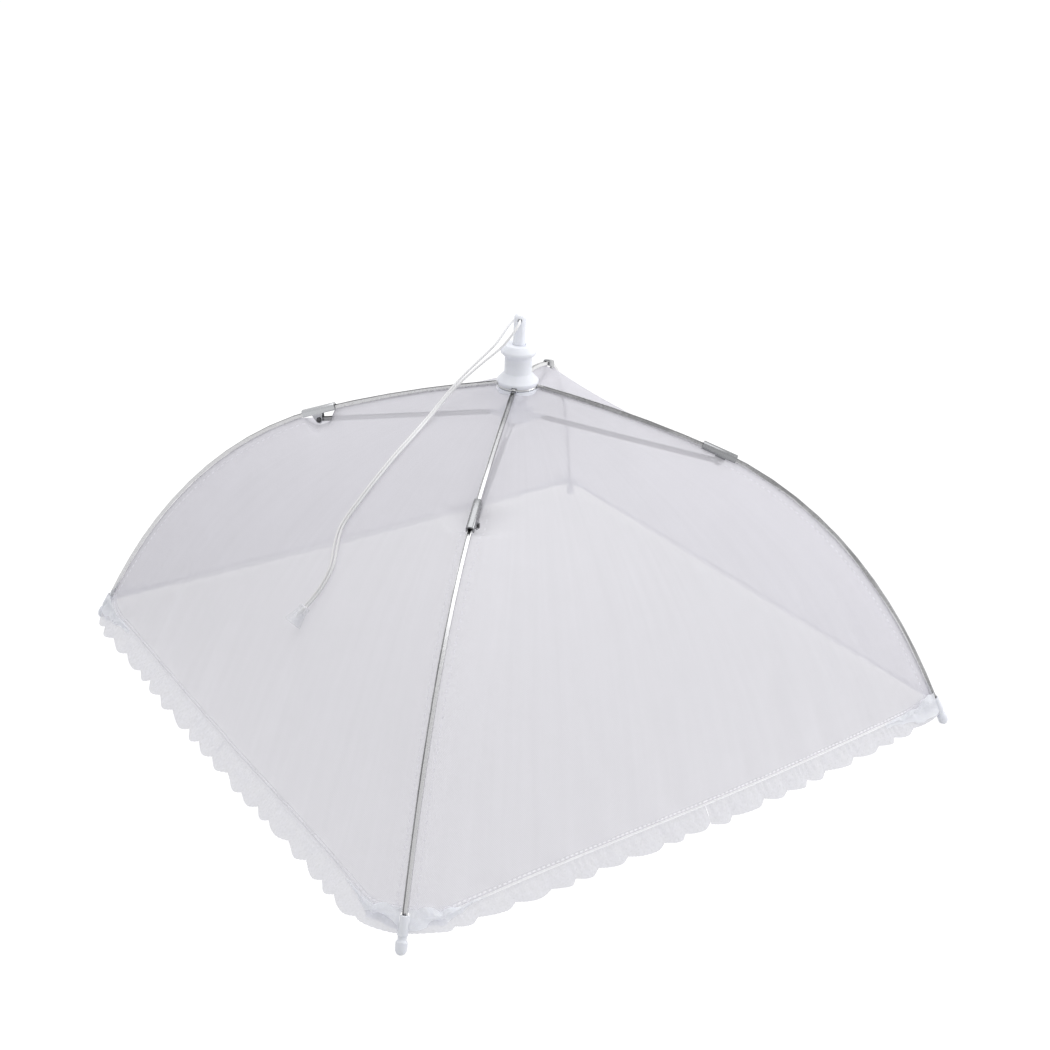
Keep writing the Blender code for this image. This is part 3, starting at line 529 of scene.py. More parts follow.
def bead_finish():
    """Clear plastic with a faint milky cast."""
    finish = Finish("clear bead", colours().bead, 0.12)
    cloud = finish.noise(finish.place(), 180.0, 2.0)
    finish.put("Roughness", cloud * 0.10 + 0.08)
    finish.put("Alpha", cloud * 0.12 + 0.22)
    finish.put("IOR", 1.49)
    finish.put("Coat Weight", 0.6)
    return finish.material


def plastic_finish(name, colour, roughness):
    """Moulded white plastic, a little uneven in its gloss."""
    finish = Finish(name, colour, roughness)
    cloud = finish.noise(finish.place(), 90.0, 3.0)
    finish.tint(cloud, 0.97, 1.03)
    finish.put("Roughness", cloud * 0.12 + (roughness - 0.06))
    finish.put("Subsurface Weight", 0.08)
    finish.put("Subsurface Radius", (0.004, 0.004, 0.005))
    finish.put("Subsurface Scale", 0.5)
    finish.relief(finish.noise(finish.place(), 2600.0, 1.0), 0.00002)
    return finish.material


def steel_finish(name, colour, roughness, spangle=0.25, painted_shade_side=0.0, low=0.0):
    """Zinc-coated sheet steel: flecked and scuffed.

    A rib or strut given a side sign gets painted shade down one side of its section and a
    painted highlight down the other; "low" paints a highlight all round the lower part of
    its section, and a positive sign paints it dark near the hub.
    """
    finish = Finish(name, colour, roughness, 1.0)
    flecks = finish.node("TexVoronoi", {"feature": "F1"},
                         {"Vector": finish.place(), "Scale": 1500.0}, "Color")
    fleck = finish.node("RGBToBW", {}, {0: flecks})
    wear = finish.noise(finish.place(), 700.0, 3.0).smooth(0.25, 0.75)
    tone = (fleck - 0.5) * spangle + (wear - 0.5) * spangle
    # Painted light: one side of the section painted light and the other dark, the dark side
    # lightened in patches along its length, and the lower part of the section painted light all
    # round
    if painted_shade_side:
        ahead, across = (part.size() for part in finish.split(finish.place())[:2])
        aside = (ahead - across) * painted_shade_side
        painted_shade_patches = finish.noise(finish.place(), 45.0, 1.0).smooth(0.35, 0.62)
        rise = finish.node("Attribute", {"attribute_name": "rise"}, output="Fac")
        lower = rise.smooth(0.30, 0.52)
        bright = aside.smooth(-0.0004, 0.0005).greatest((1.0 - lower) * low)
        # Painted shade near the hub: the painted highlight fades out there
        if painted_shade_side > 0:
            bright = bright * ((ahead + across).smooth(0.112, 0.138) * 0.9 + 0.1)
        tone = tone + bright * 0.80 + (1.0 - bright) * painted_shade_patches * 0.25
    else:
        tone = tone + 0.5
    finish.tint(tone, 0.43, 1.16)
    finish.put("Roughness", wear * 0.10 + fleck * 0.05 + (roughness - 0.07))
    finish.relief(finish.noise(finish.place(), 1400.0, 2.0), 0.00001)
    return finish.material


def up(height):
    """Return a step straight up."""
    return Vector((0.0, 0.0, height))


def heading(turn):
    """Return the level direction at an angle."""
    return Vector((math.cos(turn), math.sin(turn), 0.0))


def eased(share):
    """Return a share that starts and ends softly."""
    return share ** 2 * (3 - 2 * share)


def deselect():
    """Leave edit mode and select nothing."""
    if bpy.context.object is not None and bpy.context.object.mode != "OBJECT":
        bpy.ops.object.mode_set(mode="OBJECT")
    bpy.ops.object.select_all(action="DESELECT")


def pick(piece):
    """Make one piece the only selected one, and the active one."""
    deselect()
    piece.select_set(True)
    bpy.context.view_layer.objects.active = piece


def finish_piece(piece, material):
    """Give a piece its only material and smooth shading."""
    piece.data.materials.clear()
    piece.data.materials.append(material)
    pick(piece)
    bpy.ops.object.shade_smooth_by_angle(angle=40.0 * DEGREE)
    deselect()
    return piece


def sheet_piece(name, grid, flat, closed=False):
    """Make a sheet from rows of points, with each point's place on its flat cloth."""
    work = bmesh.new()
    layer = work.loops.layers.uv.new("UVMap")
    rows = [[work.verts.new(point) for point in row] for row in grid]
    for row in range(len(rows) - 1):
        for column in range(len(rows[row]) - 1 + closed):
            on = (column + 1) % len(rows[row])
            corners = ((row, column, column), (row + 1, column, column),
                       (row + 1, on, column + 1), (row, on, column + 1))
            face = work.faces.new([rows[line][at] for line, at, place in corners])
            for loop, (line, at, place) in zip(face.loops, corners):
                loop[layer].uv = flat(line, place)
            face.smooth = True
    mesh = bpy.data.meshes.new(name)
    work.to_mesh(mesh)
    work.free()
    piece = bpy.data.objects.new(name, mesh)
    bpy.context.scene.collection.objects.link(piece)
    return piece


def face_out(piece):
    """Turn a sheet's faces so that they point away from the origin."""
    total = 0.0
    for polygon in piece.data.polygons:
        total += polygon.normal.dot(polygon.center.normalized()) * polygon.area
    if total < 0.0:
        piece.data.flip_normals()


def make_cloth(name, rows, columns, flat, place):
    """Make a sheet, with its points placed by their shares of the way down and along it."""
    grid = [[place(row / rows, column / columns) for column in range(columns + 1)]
            for row in range(rows + 1)]
    cloth = sheet_piece(name, grid, lambda row, at: (
        at / columns * flat[0], row / rows * flat[1]))
    face_out(cloth)
    return cloth


def ring(place, side, top, reaches):
    """Return a ring of points round a place, at these distances from it."""
    points = []
    for number, reach in enumerate(reaches):
        turn = math.tau * number / len(reaches)
        points.append(place + (side * math.cos(turn) + top * math.sin(turn)) * reach)
    return points


def finer_copy(node, edge, segments=2):
    """Copy a model node with its triangles merged and its edges rounded."""
    piece = bpy.data.objects.new(node + "_finish", frame["nodes"][node].data.copy())
    bpy.context.scene.collection.objects.link(piece)
    pick(piece)
    bpy.ops.object.mode_set(mode="EDIT")
    bpy.ops.mesh.select_all(action="SELECT")
    bpy.ops.mesh.remove_doubles(threshold=0.000002)
    bpy.ops.mesh.dissolve_limited(angle_limit=0.6 * DEGREE)
    bpy.ops.object.mode_set(mode="OBJECT")
    if edge:
        bpy.ops.object.modifier_add(type="BEVEL")
        bevel = piece.modifiers[-1]
        bevel.width = edge
        bevel.segments = segments
        bevel.limit_method = "ANGLE"
        bevel.angle_limit = 32.0 * DEGREE
        bpy.ops.object.modifier_apply(modifier=bevel.name)
    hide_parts(node)
    return piece


def dress_copies(nodes, edge, material, slot):
    """Replace nodes with finer copies in one finish, each on its own body."""
    pieces = []
    for node in nodes:
        piece = finish_piece(finer_copy(node, edge), material)
        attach(piece, frame["nodes"][node]["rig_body"])
        pieces.append(piece)
    return pieces


def mark_rise(piece, corner, steps=160):
    """Write how high on the rib's section each of its points lies, from 0 to 1."""
    places = [rib_point(RIB_LENGTH * step / steps) for step in range(steps + 1)]
    outs = [place.x for place in places]
    ahead = heading(CORNERS[corner] * DEGREE)
    # The rise marks where the steel finish paints its highlight on the section's lower part
    layer = piece.data.attributes.new("rise", "FLOAT", "POINT")
    for vertex, mark in zip(piece.data.vertices, layer.data):
        out = vertex.co.dot(ahead)
        index = min(max(bisect_left(outs, out) - 1, 0), steps - 1)
        here, on = places[index:index + 2]
        height = here.y + (on.y - here.y) * (out - here.x) / (on.x - here.x)
        slope = rib_slope(RIB_LENGTH * index / steps)
        mark.value = 0.5 + (vertex.co.z - height) * math.cos(slope) / RIB_DEPTH


def rib_slope(length):
    """Return how steeply a rib runs down at a length along it."""
    if length <= RIB_UPPER_LENGTH:
        return (RIB_TOP_SLOPE + RIB_UPPER_TURN * length / RIB_UPPER_LENGTH) * DEGREE
    share = min((length - RIB_UPPER_LENGTH) / (RIB_LENGTH - RIB_UPPER_LENGTH), 1.0)
    return (RIB_LOWER_SLOPE + RIB_LOWER_TURN * (1.5 * share - 0.5 * share ** 2)) * DEGREE


def rib_point(length, rise=0.0):
    """Return the distance out from the hub's axis and the height, along a rib."""
    run = length / RIB_STEPS
    out, height = HINGE.x, HINGE.z
    for step in range(RIB_STEPS):
        slope = rib_slope(run * (step + 0.5))
        out += math.cos(slope) * run
        height -= math.sin(slope) * run
    slope = rib_slope(length)
    return Vector((out + rise * math.sin(slope), height + rise * math.cos(slope)))


def net_length(share):
    """Return the length along a rib at a share of the way down the net."""
    return NET_START + NET_RUN * share


class Gore:
    """Half of a gore beside one rib: its surface and its hem."""

    rows = {}

    def __init__(self, corner, side):
        self.name = corner + "_" + side
        self.sign = SIDES[side]
        self.rib = corner + "_rib"
        self.leaf = corner + "_net_" + side
        self.direction = CORNERS[corner] * DEGREE
        middle = self.direction + self.sign * math.pi / 4
        self.out = heading(middle)
        self.left = Vector((-self.out.y, self.out.x, 0.0))

    def edge(self, share):
        """Return the gore's middle point and its rib's point at a share of the way down."""
        if share not in self.rows:
            run = GORE_HEM - GORE_TOP
            rise = Vector((-run.y, run.x)).normalized() * (4 * GORE_BOW * share * (1 - share))
            middle = GORE_TOP + run * share + rise
            self.rows[share] = (middle, rib_point(net_length(share), RIB_UNDERSIDE))
        return self.rows[share]

    def point(self, share, across):
        """Return a point of the net, from hub to hem and from gore middle to rib."""
        middle, corner = self.edge(share)
        reach = corner.x / math.sqrt(2)
        outward = middle.x + (reach - middle.x) * across ** 2
        height = middle.y + (corner.y - middle.y) * across ** 2
        place = self.out * outward - self.left * (self.sign * reach * across)
        whole, aside, sag = HEM_SLACK[self.name]
        low = max((share - SLACK_START) / (1 - SLACK_START), 0.0) ** 2
        rise = self.slack(across)
        fall = 1 - max((across - SLACK_PEAK) / (1 - SLACK_PEAK), 0.0) ** 2
        place += self.out * ((whole + aside * rise) * fall * low)
        return place + up(height - sag * rise * fall * low)

    def slack(self, across):
        """Return how far the hem has sagged towards the corner, from 0 to 1."""
        return min(abs(across) / SLACK_PEAK, 1.0) ** SLACK_CURVE

    def cap_side(self, depth):
        """Return a point on the corner cap's side, from its mouth down to its neck."""
        place = rib_point(RIB_LENGTH - CAP_MOUTH + CAP_REACH * depth)
        ahead = heading(self.direction)
        side = Vector((-ahead.y, ahead.x, 0.0)) * self.sign
        return ahead * place.x + side * CAP_RADIUS + up(place.y)

    def normal(self, share, across):
        """Return the direction straight out of the net at a point."""
        near = max(share - 0.002, 0.0)
        far = min(share + 0.002, 1.0)
        along = self.point(far, across) - self.point(near, across)
        over = self.point(share, across + 0.002) - self.point(share, across - 0.002)
        normal = along.cross(over).normalized()
        return normal if normal.dot(self.out) + normal.z > 0 else -normal

    def fold(self, piece):
        """Bake a piece's placement into its mesh."""
        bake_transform(piece)


def gores():
    """Return the eight half gores."""
    return [Gore(corner, side) for corner in CORNERS for side in SIDES]


class FOODCOVER_OT_stage(bpy.types.Operator):
    """Set up the camera, the white floor and the soft light."""

    bl_idname = "foodcover.stage"
    bl_label = "Stage"

    def execute(self, context):
        """Make the stage."""
        stage = context.scene.food_cover_stage
        self.make_camera(context, stage)
        self.make_floor(stage)
        self.make_world(context, stage)
        self.make_lamp("key lamp", (-0.10, 0.10, 1.35), 1.5, stage.key_power)
        self.make_lamp("fill lamp", (0.72, 1.00, 0.52), 0.8, stage.fill_power)
        context.scene.view_settings.view_transform = "Standard"
        return {"FINISHED"}

    def make_camera(self, context, stage):
        """Place the camera on its target, turned by its roll."""
        back = heading(stage.azimuth - math.pi / 2) * math.cos(stage.elevation)
        back += up(math.sin(stage.elevation))
        deselect()
        bpy.ops.object.camera_add(location=Vector(stage.target) + back * stage.distance)
        camera = context.object
        camera.name = "camera"
        camera.data.lens = stage.lens
        camera.data.sensor_width = 36.0
        camera.rotation_mode = "QUATERNION"
        roll = Quaternion((0.0, 0.0, 1.0), stage.roll)
        camera.rotation_quaternion = (-back).to_track_quat("-Z", "Y") @ roll
        context.scene.camera = camera

    def make_floor(self, stage):
        """Add the floor, which shows white and keeps a soft shadow."""
        deselect()
        bpy.ops.mesh.primitive_plane_add(size=16.0, location=(0.0, 0.0, -0.0002))
        floor = bpy.context.object
        floor.name = "floor"
        finish = Finish("floor", (0.80, 0.80, 0.80), 0.9)
        seen = self.seen(finish)
        glow = finish.node("Emission", {}, {"Color": (1.0, 1.0, 1.0, 1.0), "Strength": 1.25})
        lit = Level(finish, finish.shader.outputs[0])
        mixed = finish.node("MixShader", {}, {0: seen * stage.floor_glow, 1: lit, 2: glow})
        output = finish.tree.nodes["Material Output"]
        finish.connect(mixed, output.inputs["Surface"])
        floor.data.materials.append(finish.material)

    def seen(self, finish):
        """Return 1 for what the camera sees, straight or in metal or glass."""
        straight = finish.node("LightPath", output="Is Camera Ray")
        outputs = straight.socket.node.outputs
        return straight.greatest(*(Level(finish, outputs[name]) for name in (
            "Is Glossy Ray", "Is Transmission Ray")))

    def make_world(self, context, stage):
        """Make the sky plain white where it shows, and softer where it lights."""
        world = bpy.data.worlds.new("studio")
        context.scene.world = world
        world.use_nodes = True
        finish = Finish.__new__(Finish)
        finish.tree = world.node_tree
        strength = self.seen(finish) * (1.0 - stage.world_strength) + stage.world_strength
        background = finish.tree.nodes["Background"]
        background.inputs["Color"].default_value = (1.0, 1.0, 1.0, 1.0)
        finish.connect(strength, background.inputs["Strength"])

    def make_lamp(self, name, place, size, power):
        """Add a square lamp that faces the middle of the cover."""
        deselect()
        bpy.ops.object.light_add(type="AREA", location=place)
        lamp = bpy.context.object
        lamp.name = name
        lamp.data.size = size
        lamp.data.energy = power
        aim = up(0.1) - Vector(place)
        lamp.rotation_mode = "QUATERNION"
        lamp.rotation_quaternion = aim.to_track_quat("-Z", "Y")


class FOODCOVER_OT_pull_cord(bpy.types.Operator):
    """Lay the two strands of the pull cord, with their twisted yarns."""

    bl_idname = "foodcover.pull_cord"
    bl_label = "Pull Cord"

    step = 0.0006
    sides = 14
    yarns = 3

    def execute(self, context):
        """Make both strands and their bead."""
        cord = cord_finish()
        bead = finish_piece(finer_copy("cord_bead", 0.0003, 3), bead_finish())
        bead.name = "bead"
        knot = finish_piece(self.make_knot(), cord)
        for piece, slot in ((bead, "clear_bead"), (knot, "white_cord")):
            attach(piece, "pull_cord")
        for name, route in (("a", STRAND_A), ("b", STRAND_B)):
            line = self.smooth_line([Vector(point) for point in route])
            strand = self.make_strand("pull_cord_" + name, line)
            finish_piece(strand, cord)
            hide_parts("cord_strand_" + name)
            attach(strand, "pull_cord")
            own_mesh(strand)
        return {"FINISHED"}

    def smooth_line(self, places):
        """Return even points on a smooth curve through the route's points."""
        knots = [0.0]
        for here, on in zip(places, places[1:]):
            knots.append(knots[-1] + (on - here).length)
        slopes = []
        for index in range(len(places)):
            low, high = max(index - 1, 0), min(index + 1, len(places) - 1)
            slopes.append((places[high] - places[low]) / (knots[high] - knots[low]))
        count = round(knots[-1] / self.step)
        line = []
        index = 0
        for number in range(count + 1):
            at = knots[-1] * number / count
            while index < len(places) - 2 and knots[index + 1] <= at:
                index += 1
            span = knots[index + 1] - knots[index]
            t = (at - knots[index]) / span
            line.append(places[index] * (2 * t ** 3 - 3 * t ** 2 + 1)
                        + slopes[index] * span * (t ** 3 - 2 * t ** 2 + t)
                        + places[index + 1] * (3 * t ** 2 - 2 * t ** 3)
                        + slopes[index + 1] * span * (t ** 3 - t ** 2))
        return line

    def make_knot(self):
        """Make the twisted tail of the cord, which shows inside the bead."""
        start = (Vector(STRAND_A[-1]) + Vector(STRAND_B[-1])) / 2
        along = (Vector(STRAND_A[-1]) - Vector(STRAND_A[-3])).normalized()
        side = along.cross(up(1.0)).normalized()
        top = side.cross(along)
        rows, sides = 32, 24
        grid = []
        for row in range(rows + 1):
            part = row / rows
            girth = 0.0013 * math.sqrt(max(0.0, 1 - (2 * part - 1) ** 4)) + 0.00004
            place = start + along * (0.0006 + 0.0078 * part)
            grid.append(ring(place, side, top, [
                girth * (0.86 + 0.14 * math.cos(2 * math.tau * number / sides - 7.0 * part))
                for number in range(sides)]))
        # Alternate columns are mapped dark and light, for painted shade between the twists
        knot = sheet_piece("cord_knot", grid, lambda row, at: (0.5 + 0.5 * (at % 2), 0.0), True)
        self.close_ends(knot)
        return knot

    def make_strand(self, name, line):
        """Make a tube along a line, with the yarns' turns in its surface."""
        radius = sizes().cord_diameter / 2
        turns = self.step / sizes().cord_lay
        grid = []
        waves = []
        for index, place in enumerate(line):
            ahead = line[min(index + 1, len(line) - 1)] - line[max(index - 1, 0)]
            ahead.normalize()
            side = ahead.cross(up(1.0)).normalized()
            waves.append([
                math.cos(self.yarns * math.tau * (number / self.sides - index * turns))
                for number in range(self.sides)])
            reaches = [radius * (0.93 + 0.11 * wave) for wave in waves[-1]]
            grid.append(ring(place, side, side.cross(ahead), reaches))
        # The map's first number is low in the yarns' grooves and high on their ridges, for the
        # painted shade in the grooves
        strand = sheet_piece(name, grid, lambda row, at: (
            (1 + waves[row][at % self.sides]) / 2, 0.0), True)
        self.close_ends(strand)
        return strand

    def close_ends(self, tube):
        """Close a tube's two open ends and turn its faces outward."""
        pick(tube)
        bpy.ops.object.mode_set(mode="EDIT")
        bpy.ops.mesh.select_all(action="DESELECT")
        bpy.ops.mesh.select_mode(type="EDGE")
        bpy.ops.mesh.select_non_manifold()
        bpy.ops.mesh.edge_face_add()
        bpy.ops.mesh.select_all(action="SELECT")
        bpy.ops.mesh.normals_make_consistent(inside=False)
        deselect()


class FOODCOVER_OT_net(bpy.types.Operator):
    """Stretch the net between the ribs, with its soft folds."""

    bl_idname = "foodcover.net"
    bl_label = "Net"

    rows = 110
    columns = 48

    def execute(self, context):
        """Make the eight half gores."""
        # Painted light: the near half sides' net is painted a little darker and the far half sides'
        # net painted lighter
        near = net_finish("white net", 0.985, 0.5)
        far = net_finish("white net, painted lighter far side", 1.07, 0.6)
        for gore in gores():
            panel = make_cloth("net_" + gore.name, self.rows, self.columns, NET_FLAT,
                               lambda *shares: self.place(gore, *shares))
            finish_piece(panel, near if gore.name in NEAR_SIDES else far)
            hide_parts("net_panel_" + gore.name)
            gore.fold(panel)
        return {"FINISHED"}

    def crease(self, gore, across, below):
        """Return how far soft folds lift the net, by places on its flat cloth."""
        wave = math.sin(across * 190.0 + gore.direction * 3.0)
        lift = 0.0009 * wave * math.exp(-below / 0.035)
        fade = math.exp(-((below - 0.055) / 0.045) ** 2)
        for start, lean, rise, width in CREASES:
            offset = across - start + lean * below
            lift += rise * math.exp(-(offset / width) ** 2) * fade
        return lift

    def opening(self, gore, share, sideways):
        """Return how the net gives way to the clip, which stands outside it."""
        if gore.rib == CLOSED_CLIP:
            return up(0.0)
        beside = math.exp(-((net_length(share) - CLIP_LENGTH) / CLIP_HALF) ** 4)
        gap = gore.edge(share)[1].x / math.sqrt(2) - sideways
        drop = CLIP_DROP * beside * math.exp(-(gap / CLIP_DROP_REACH) ** 2)
        aside = CLIP_ASIDE * beside * math.exp(-(gap / CLIP_ASIDE_REACH) ** 2)
        return (gore.left * gore.sign - gore.out).normalized() * aside - up(drop)

    def place(self, gore, share, across):
        """Return a point of one half gore."""
        sideways = across * gore.edge(share)[1].x / math.sqrt(2)
        calm = (1 - across ** 6) * min(across / 0.1, 1.0) * min((1 - share) / 0.02, 1.0)
        lift = self.crease(gore, sideways, (1 - share) * NET_FLAT[1]) * calm
        place = gore.point(share, across) - gore.normal(share, across) * lift
        return place + self.opening(gore, share, sideways)


class FOODCOVER_OT_hem(bpy.types.Operator):
    """Fold the hem band under the net, with its two stitched folds."""

    bl_idname = "foodcover.hem"
    bl_label = "Hem"

    steps = 150

    def execute(self, context):
        """Make the eight bands."""
        crisp = hem_finish("white hem", 1.0)
        soft = hem_finish("soft hem", 0.25)
        width = sizes().hem_width
        steps = self.steps
        for gore in gores():
            grid = [[self.place(gore, height * width, lift, step / steps)
                     for step in range(steps + 1)] for height, lift in HEM_PROFILE]
            band = sheet_piece("hem_" + gore.name, grid, lambda row, at: (
                at / steps * NET_FLAT[0], HEM_PROFILE[row][0] * width))
            face_out(band)
            finish_piece(band, soft if gore.name in SOFT_HEMS else crisp)
            gore.fold(band)
        return {"FINISHED"}

    def place(self, gore, height, lift, across):
        """Return a point of the band, a height above the net's edge."""
        share = 1 - height / NET_RUN
        out = gore.normal(share, across) * (0.0001 + sizes().stitch_rise * lift)
        return gore.point(share, across) + out


class FOODCOVER_OT_lace(bpy.types.Operator):
    """Hang the gathered lace from the hem, in scallops."""

    bl_idname = "foodcover.lace"
    bl_label = "Lace"

    steps_per_scallop = 44
    rows = 12
    picots = 11

    def execute(self, context):
        """Make the eight half sides."""
        material = lace_finish()
        for number, gore in enumerate(gores()):
            lace = self.make_lace(gore, random.Random(number + 5))
            finish_piece(lace, material)
            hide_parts("lace_trim_" + gore.name)
            gore.fold(lace)
        return {"FINISHED"}

    def make_lace(self, gore, chance):
        """Make one half side of the lace."""
        scallops = sizes().scallops
        drop = sizes().lace_drop
        flare = sizes().lace_flare * LACE_STAND.get(gore.name, 1.0)
        height = sizes().lace_wave
        strengths = [chance.uniform(0.6, 1.3) for _ in range(scallops + 1)]
        depths = [chance.uniform(0.93, 1.04) for _ in range(scallops + 1)]
        peak = 0.5 - gore.sign * 0.16
        turns = [chance.uniform(0.0, math.tau) for _ in range(2)]

        def place(down, run):
            uneven = 0.16 * math.sin(15.0 * run + turns[0])
            uneven += 0.07 * math.sin(34.0 * run + turns[1])
            count = run * scallops + uneven * min(run, 1 - run, 0.1) * 10
            index = min(int(count), scallops - 1)
            part = count - index
            strength = strengths[index] * (1 - part) + strengths[index + 1] * part
            deep = depths[index] * (1 - part) + depths[index + 1] * part
            lean = part / (2 * peak) if part < peak else 1 - (1 - part) / (2 * (1 - peak))
            lobe = deep - 0.13 * abs(2 * lean - 1) ** 2.6
            lobe -= 0.025 * (1 - abs(math.sin(math.pi * self.picots * part)))
            depth = down * (1 - down * (1 - lobe))
            across = LACE_END * run
            wave = math.cos(math.tau * lean) * height * strength * down ** 1.3
            pleat = math.sin(19.0 * count + 2.2 * math.sin(3.1 * count + turns[0]))
            pleat *= 0.0004 * strength * math.sin(math.pi * min(down * 1.5, 1.0))
            hang = drop - 0.95 * HEM_SLACK[gore.name][2] * gore.slack(across)
            point = gore.point(1.0, across) + gore.out * (flare * depth - wave + pleat)
            point -= up(hang * depth + 0.0003 - 0.3 * pleat)
            return self.draw_in(gore, point, across, depth)

        return make_cloth("lace_" + gore.name, self.rows,
                          scallops * self.steps_per_scallop, LACE_FLAT, place)

    def draw_in(self, gore, place, across, depth):
        """Draw the lace in to the corner cap's side near the rib."""
        share = min(max((across - LACE_DRAW) / (LACE_END - LACE_DRAW), 0.0), 1.0)
        return place.lerp(gore.cap_side(depth), eased(share) * min(depth * 3.0, 1.0))


class FOODCOVER_OT_corner_gathers(bpy.types.Operator):
    """Bunch the top of the lace into soft standing folds beside the corner caps."""

    bl_idname = "foodcover.corner_gathers"
    bl_label = "Corner Gathers"

    steps = 150
    rows = 18

    def execute(self, context):
        """Make one bunch on each side of each corner."""
        material = gather_finish()
        for number, gore in enumerate(gores()):
            bunch = self.make_bunch(gore, random.Random(number + 31))
            finish_piece(bunch, material)
            gore.fold(bunch)
        return {"FINISHED"}

    def make_bunch(self, gore, chance):
        """Make a ruffled band that stands over the hem and thins out along it."""
        reach = sizes().gather_reach
        thick = sizes().gather_radius
        folds = [chance.uniform(0.20, 0.26), chance.uniform(0.46, 0.56), chance.uniform(0.74, 0.82)]
        widths = [chance.uniform(0.15, 0.19), chance.uniform(0.12, 0.16), 0.14]
        turns = [chance.uniform(0.0, math.tau) for _ in range(3)]

        def place(down, part):
            across = 1 - part * reach / GORE_HEM.x
            fade = 1 - eased(part) * 0.8
            arch = 0.35
            for fold, width in zip(folds, widths):
                arch = max(arch, 1 - ((part - fold) / width) ** 2)
            hang = thick * (2.3 * fade + 0.25)
            hang -= 0.6 * HEM_SLACK[gore.name][2] * gore.slack(across)
            top = thick * (0.50 + 1.25 * arch) * fade
            height = top - (hang + top * 0.6) * down
            bulge = math.sin(math.pi * min(down * 1.25 + 0.08, 1.0))
            out = thick * (0.24 + 0.72 * bulge * (0.20 + 0.80 * arch)) * fade
            out += 0.00035 * math.sin(part * 37.0 + down * 4.0 + turns[0]) * bulge * fade
            out += 0.00012 * math.sin(part * 83.0 - down * 6.0 + turns[1]) * bulge
            out += 0.00060 * math.sin(down * 8.0 + part * 9.0 + turns[2]) * fade
            out += 1.15 * max(-height, 0.0) + 0.0004
            point = gore.point(1.0, across) + gore.out * out + up(height)
            near = eased(max(0.0, 1 - part / 0.16)) * min(down * 3.0, 1.0)
            return point.lerp(gore.cap_side(down * 0.75), near)

        return make_cloth("gather_" + gore.name, self.rows, self.steps,
                          (reach, GATHER_DEPTH), place)


class FOODCOVER_OT_plastics(bpy.types.Operator):
    """Finish the hub, rod, runner and corner caps in white plastic."""

    bl_idname = "foodcover.plastics"
    bl_label = "Plastics"

    def execute(self, context):
        """Make finer copies of the plastic nodes."""
        colour = tuple(colours().plastic)
        plastic = plastic_finish("white plastic", colour, 0.34)
        rod = plastic_finish("rod plastic", scaled(colour, 1.02), 0.30)
        runner = plastic_finish("runner plastic", scaled(colour, 0.98), 0.38)
        dress_copies(["hub_body"], 0.0004, plastic, "white_plastic")
        dress_copies(["pull_rod"], 0.0003, rod, "rod_plastic")
        dress_copies(["runner"], 0.0002, runner, "runner_plastic")
        caps = ["corner_cap_" + corner for corner in CORNERS]
        cap = plastic_finish("cap plastic", scaled(colour, 0.88), 0.36)
        for piece, corner in zip(dress_copies(caps, 0.0003, cap, "white_plastic"), CORNERS):
            self.slim(piece, CORNERS[corner] * DEGREE)
        return {"FINISHED"}

    def slim(self, cap, turn):
        """Draw a corner cap in towards the line on which its rib ends."""
        end = rib_point(RIB_LENGTH)
        run = 1 / math.tan(rib_slope(RIB_LENGTH))
        for vertex in cap.data.vertices:
            height = vertex.co.z
            middle = heading(turn) * (end.x + (end.y - height) * run) + up(height)
            vertex.co = middle + (vertex.co - middle) * CAP_GIRTH


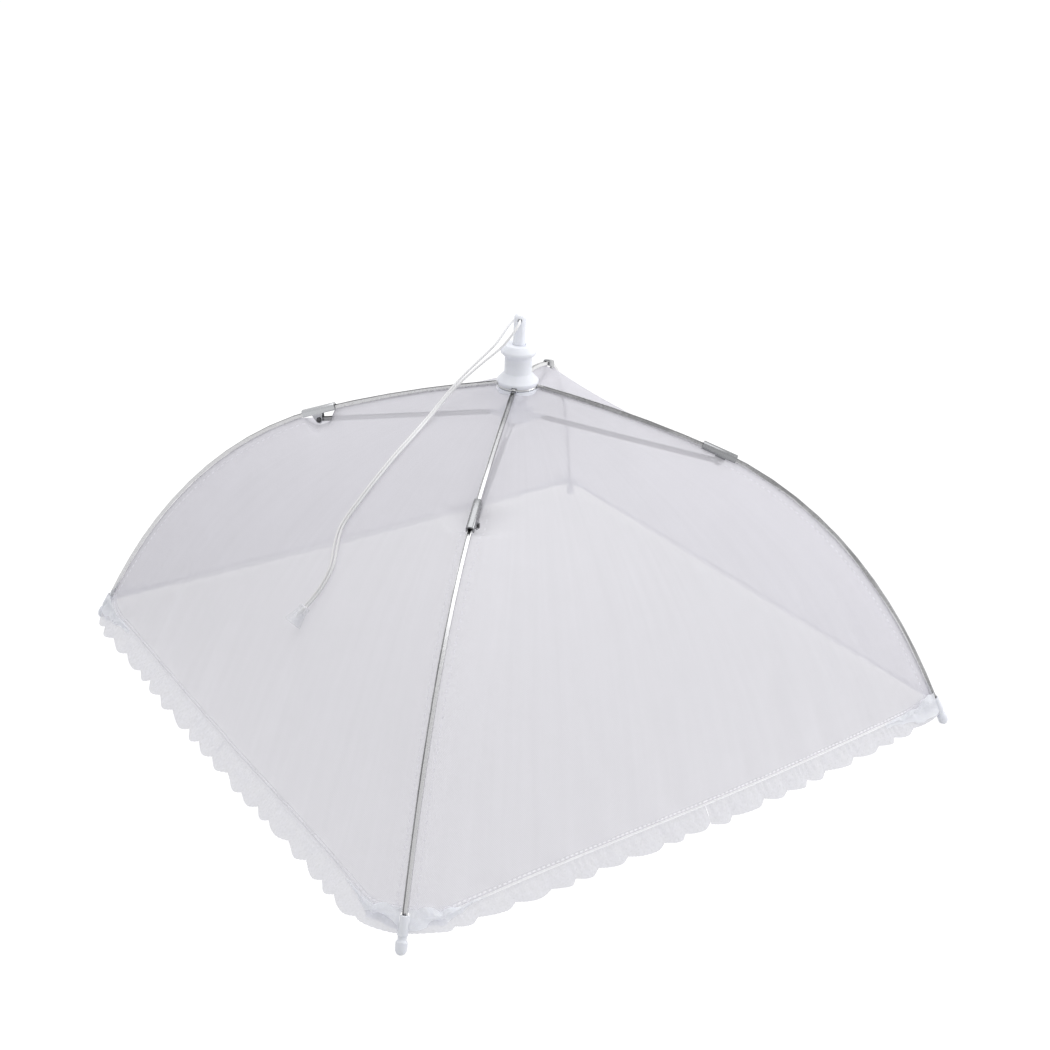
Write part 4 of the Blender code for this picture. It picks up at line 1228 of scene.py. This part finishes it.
class FOODCOVER_OT_steelwork(bpy.types.Operator):
    """Finish the ribs, struts, clips and pins in steel."""

    bl_idname = "foodcover.steelwork"
    bl_label = "Steelwork"

    def execute(self, context):
        """Make finer copies of the steel nodes."""
        rib, strut, clip = (tuple(colour) for colour in (
            colours().rib, colours().strut, colours().clip))
        # Rib finishes with painted light: painted shade down one side of the section, a painted
        # highlight down the other, and a painted highlight round the section's lower part
        steel = steel_finish("galvanised steel", rib, 0.30, 0.18, -1.0, 1.0)
        # The front rib's painted shade and highlight lie on the opposite sides, and it is painted
        # dark near the hub; the back rib is painted lighter all over
        ribs = {
            "front": steel_finish("galvanised steel, lit side", rib, 0.30, 0.18, 1.0, 1.0),
            "back": steel_finish("galvanised steel, painted lighter far side", scaled(rib, 1.5), 0.30, 0.18)}
        # Strut finishes with painted light: painted shade down one side; the right strut is painted
        # much darker as shade, and the back strut much lighter
        painted_lit_strut = steel_finish("strut steel, lit side", strut, 0.40, 0.2, -1.0)
        struts = {
            "right": steel_finish("strut steel", scaled(strut, 0.3), 0.40, 0.2, -1.0),
            "back": steel_finish("strut steel, painted lighter far side", scaled(strut, 2.4), 0.40, 0.2)}
        # Every clip but the left one gets a copy painted darker, as shade
        painted_shaded_clip = steel_finish("bright steel, shaded", scaled(clip, 0.6), 0.26, 0.05)
        clips = {"left": steel_finish("bright steel", clip, 0.22, 0.05)}
        rivet = steel_finish("rivet steel", (0.10, 0.10, 0.105), 0.35, 0.1)
        for corner in CORNERS:
            pieces = dress_copies(["rib_" + corner], 0.00012, ribs.get(corner, steel),
                                  "galvanised_steel")
            mark_rise(pieces[0], corner)
        dress_copies(["hub_ring_wire"], 0.0, steel, "galvanised_steel")
        for kind, edge, usual, special, slot in (
                ("strut_", 0.00012, painted_lit_strut, struts, "strut_steel"),
                ("clip_", 0.00018, painted_shaded_clip, clips, "bright_steel")):
            for corner in CORNERS:
                dress_copies([kind + corner], edge, special.get(corner, usual), slot)
        for kind in ("clip_rivet_", "strut_pin_"):
            dress_copies([kind + corner for corner in CORNERS], 0.00008, rivet,
                         "rivet_steel")
        return {"FINISHED"}


class FOODCOVER_PT_panel(bpy.types.Panel):
    """List the pieces of the cover in the sidebar."""

    bl_idname = "FOODCOVER_PT_panel"
    bl_label = "Food Cover"
    bl_space_type = "VIEW_3D"
    bl_region_type = "UI"
    bl_category = "Food Cover"

    def draw(self, context):
        """Draw a button for each piece, then the settings."""
        for operator in OPERATORS:
            self.layout.operator(operator.bl_idname)
        scene = context.scene
        for group in (scene.food_cover_sizes, scene.food_cover_colours,
                      scene.food_cover_stage):
            box = self.layout.box()
            for name in group.__annotations__:
                box.prop(group, name)


OPERATORS = (
    FOODCOVER_OT_stage, FOODCOVER_OT_pull_cord, FOODCOVER_OT_plastics,
    FOODCOVER_OT_steelwork, FOODCOVER_OT_net, FOODCOVER_OT_hem, FOODCOVER_OT_lace,
    FOODCOVER_OT_corner_gathers,
)
CLASSES = (FoodCoverSizes, FoodCoverColours, FoodCoverStage, *OPERATORS, FOODCOVER_PT_panel)


def register():
    """Register the classes and put the settings on the scene."""
    for item in CLASSES:
        bpy.utils.register_class(item)
    scene = bpy.types.Scene
    scene.food_cover_sizes = bpy.props.PointerProperty(type=FoodCoverSizes)
    scene.food_cover_colours = bpy.props.PointerProperty(type=FoodCoverColours)
    scene.food_cover_stage = bpy.props.PointerProperty(type=FoodCoverStage)


def unregister():
    """Take the settings and the classes away again."""
    del bpy.types.Scene.food_cover_stage
    del bpy.types.Scene.food_cover_colours
    del bpy.types.Scene.food_cover_sizes
    for item in reversed(CLASSES):
        bpy.utils.unregister_class(item)


def main():
    """Dress the whole cover."""
    register()
    bpy.ops.foodcover.stage()
    bpy.ops.foodcover.pull_cord()
    bpy.ops.foodcover.plastics()
    bpy.ops.foodcover.steelwork()
    bpy.ops.foodcover.net()
    bpy.ops.foodcover.hem()
    bpy.ops.foodcover.lace()
    bpy.ops.foodcover.corner_gathers()


if __name__ == "__main__":
    main()
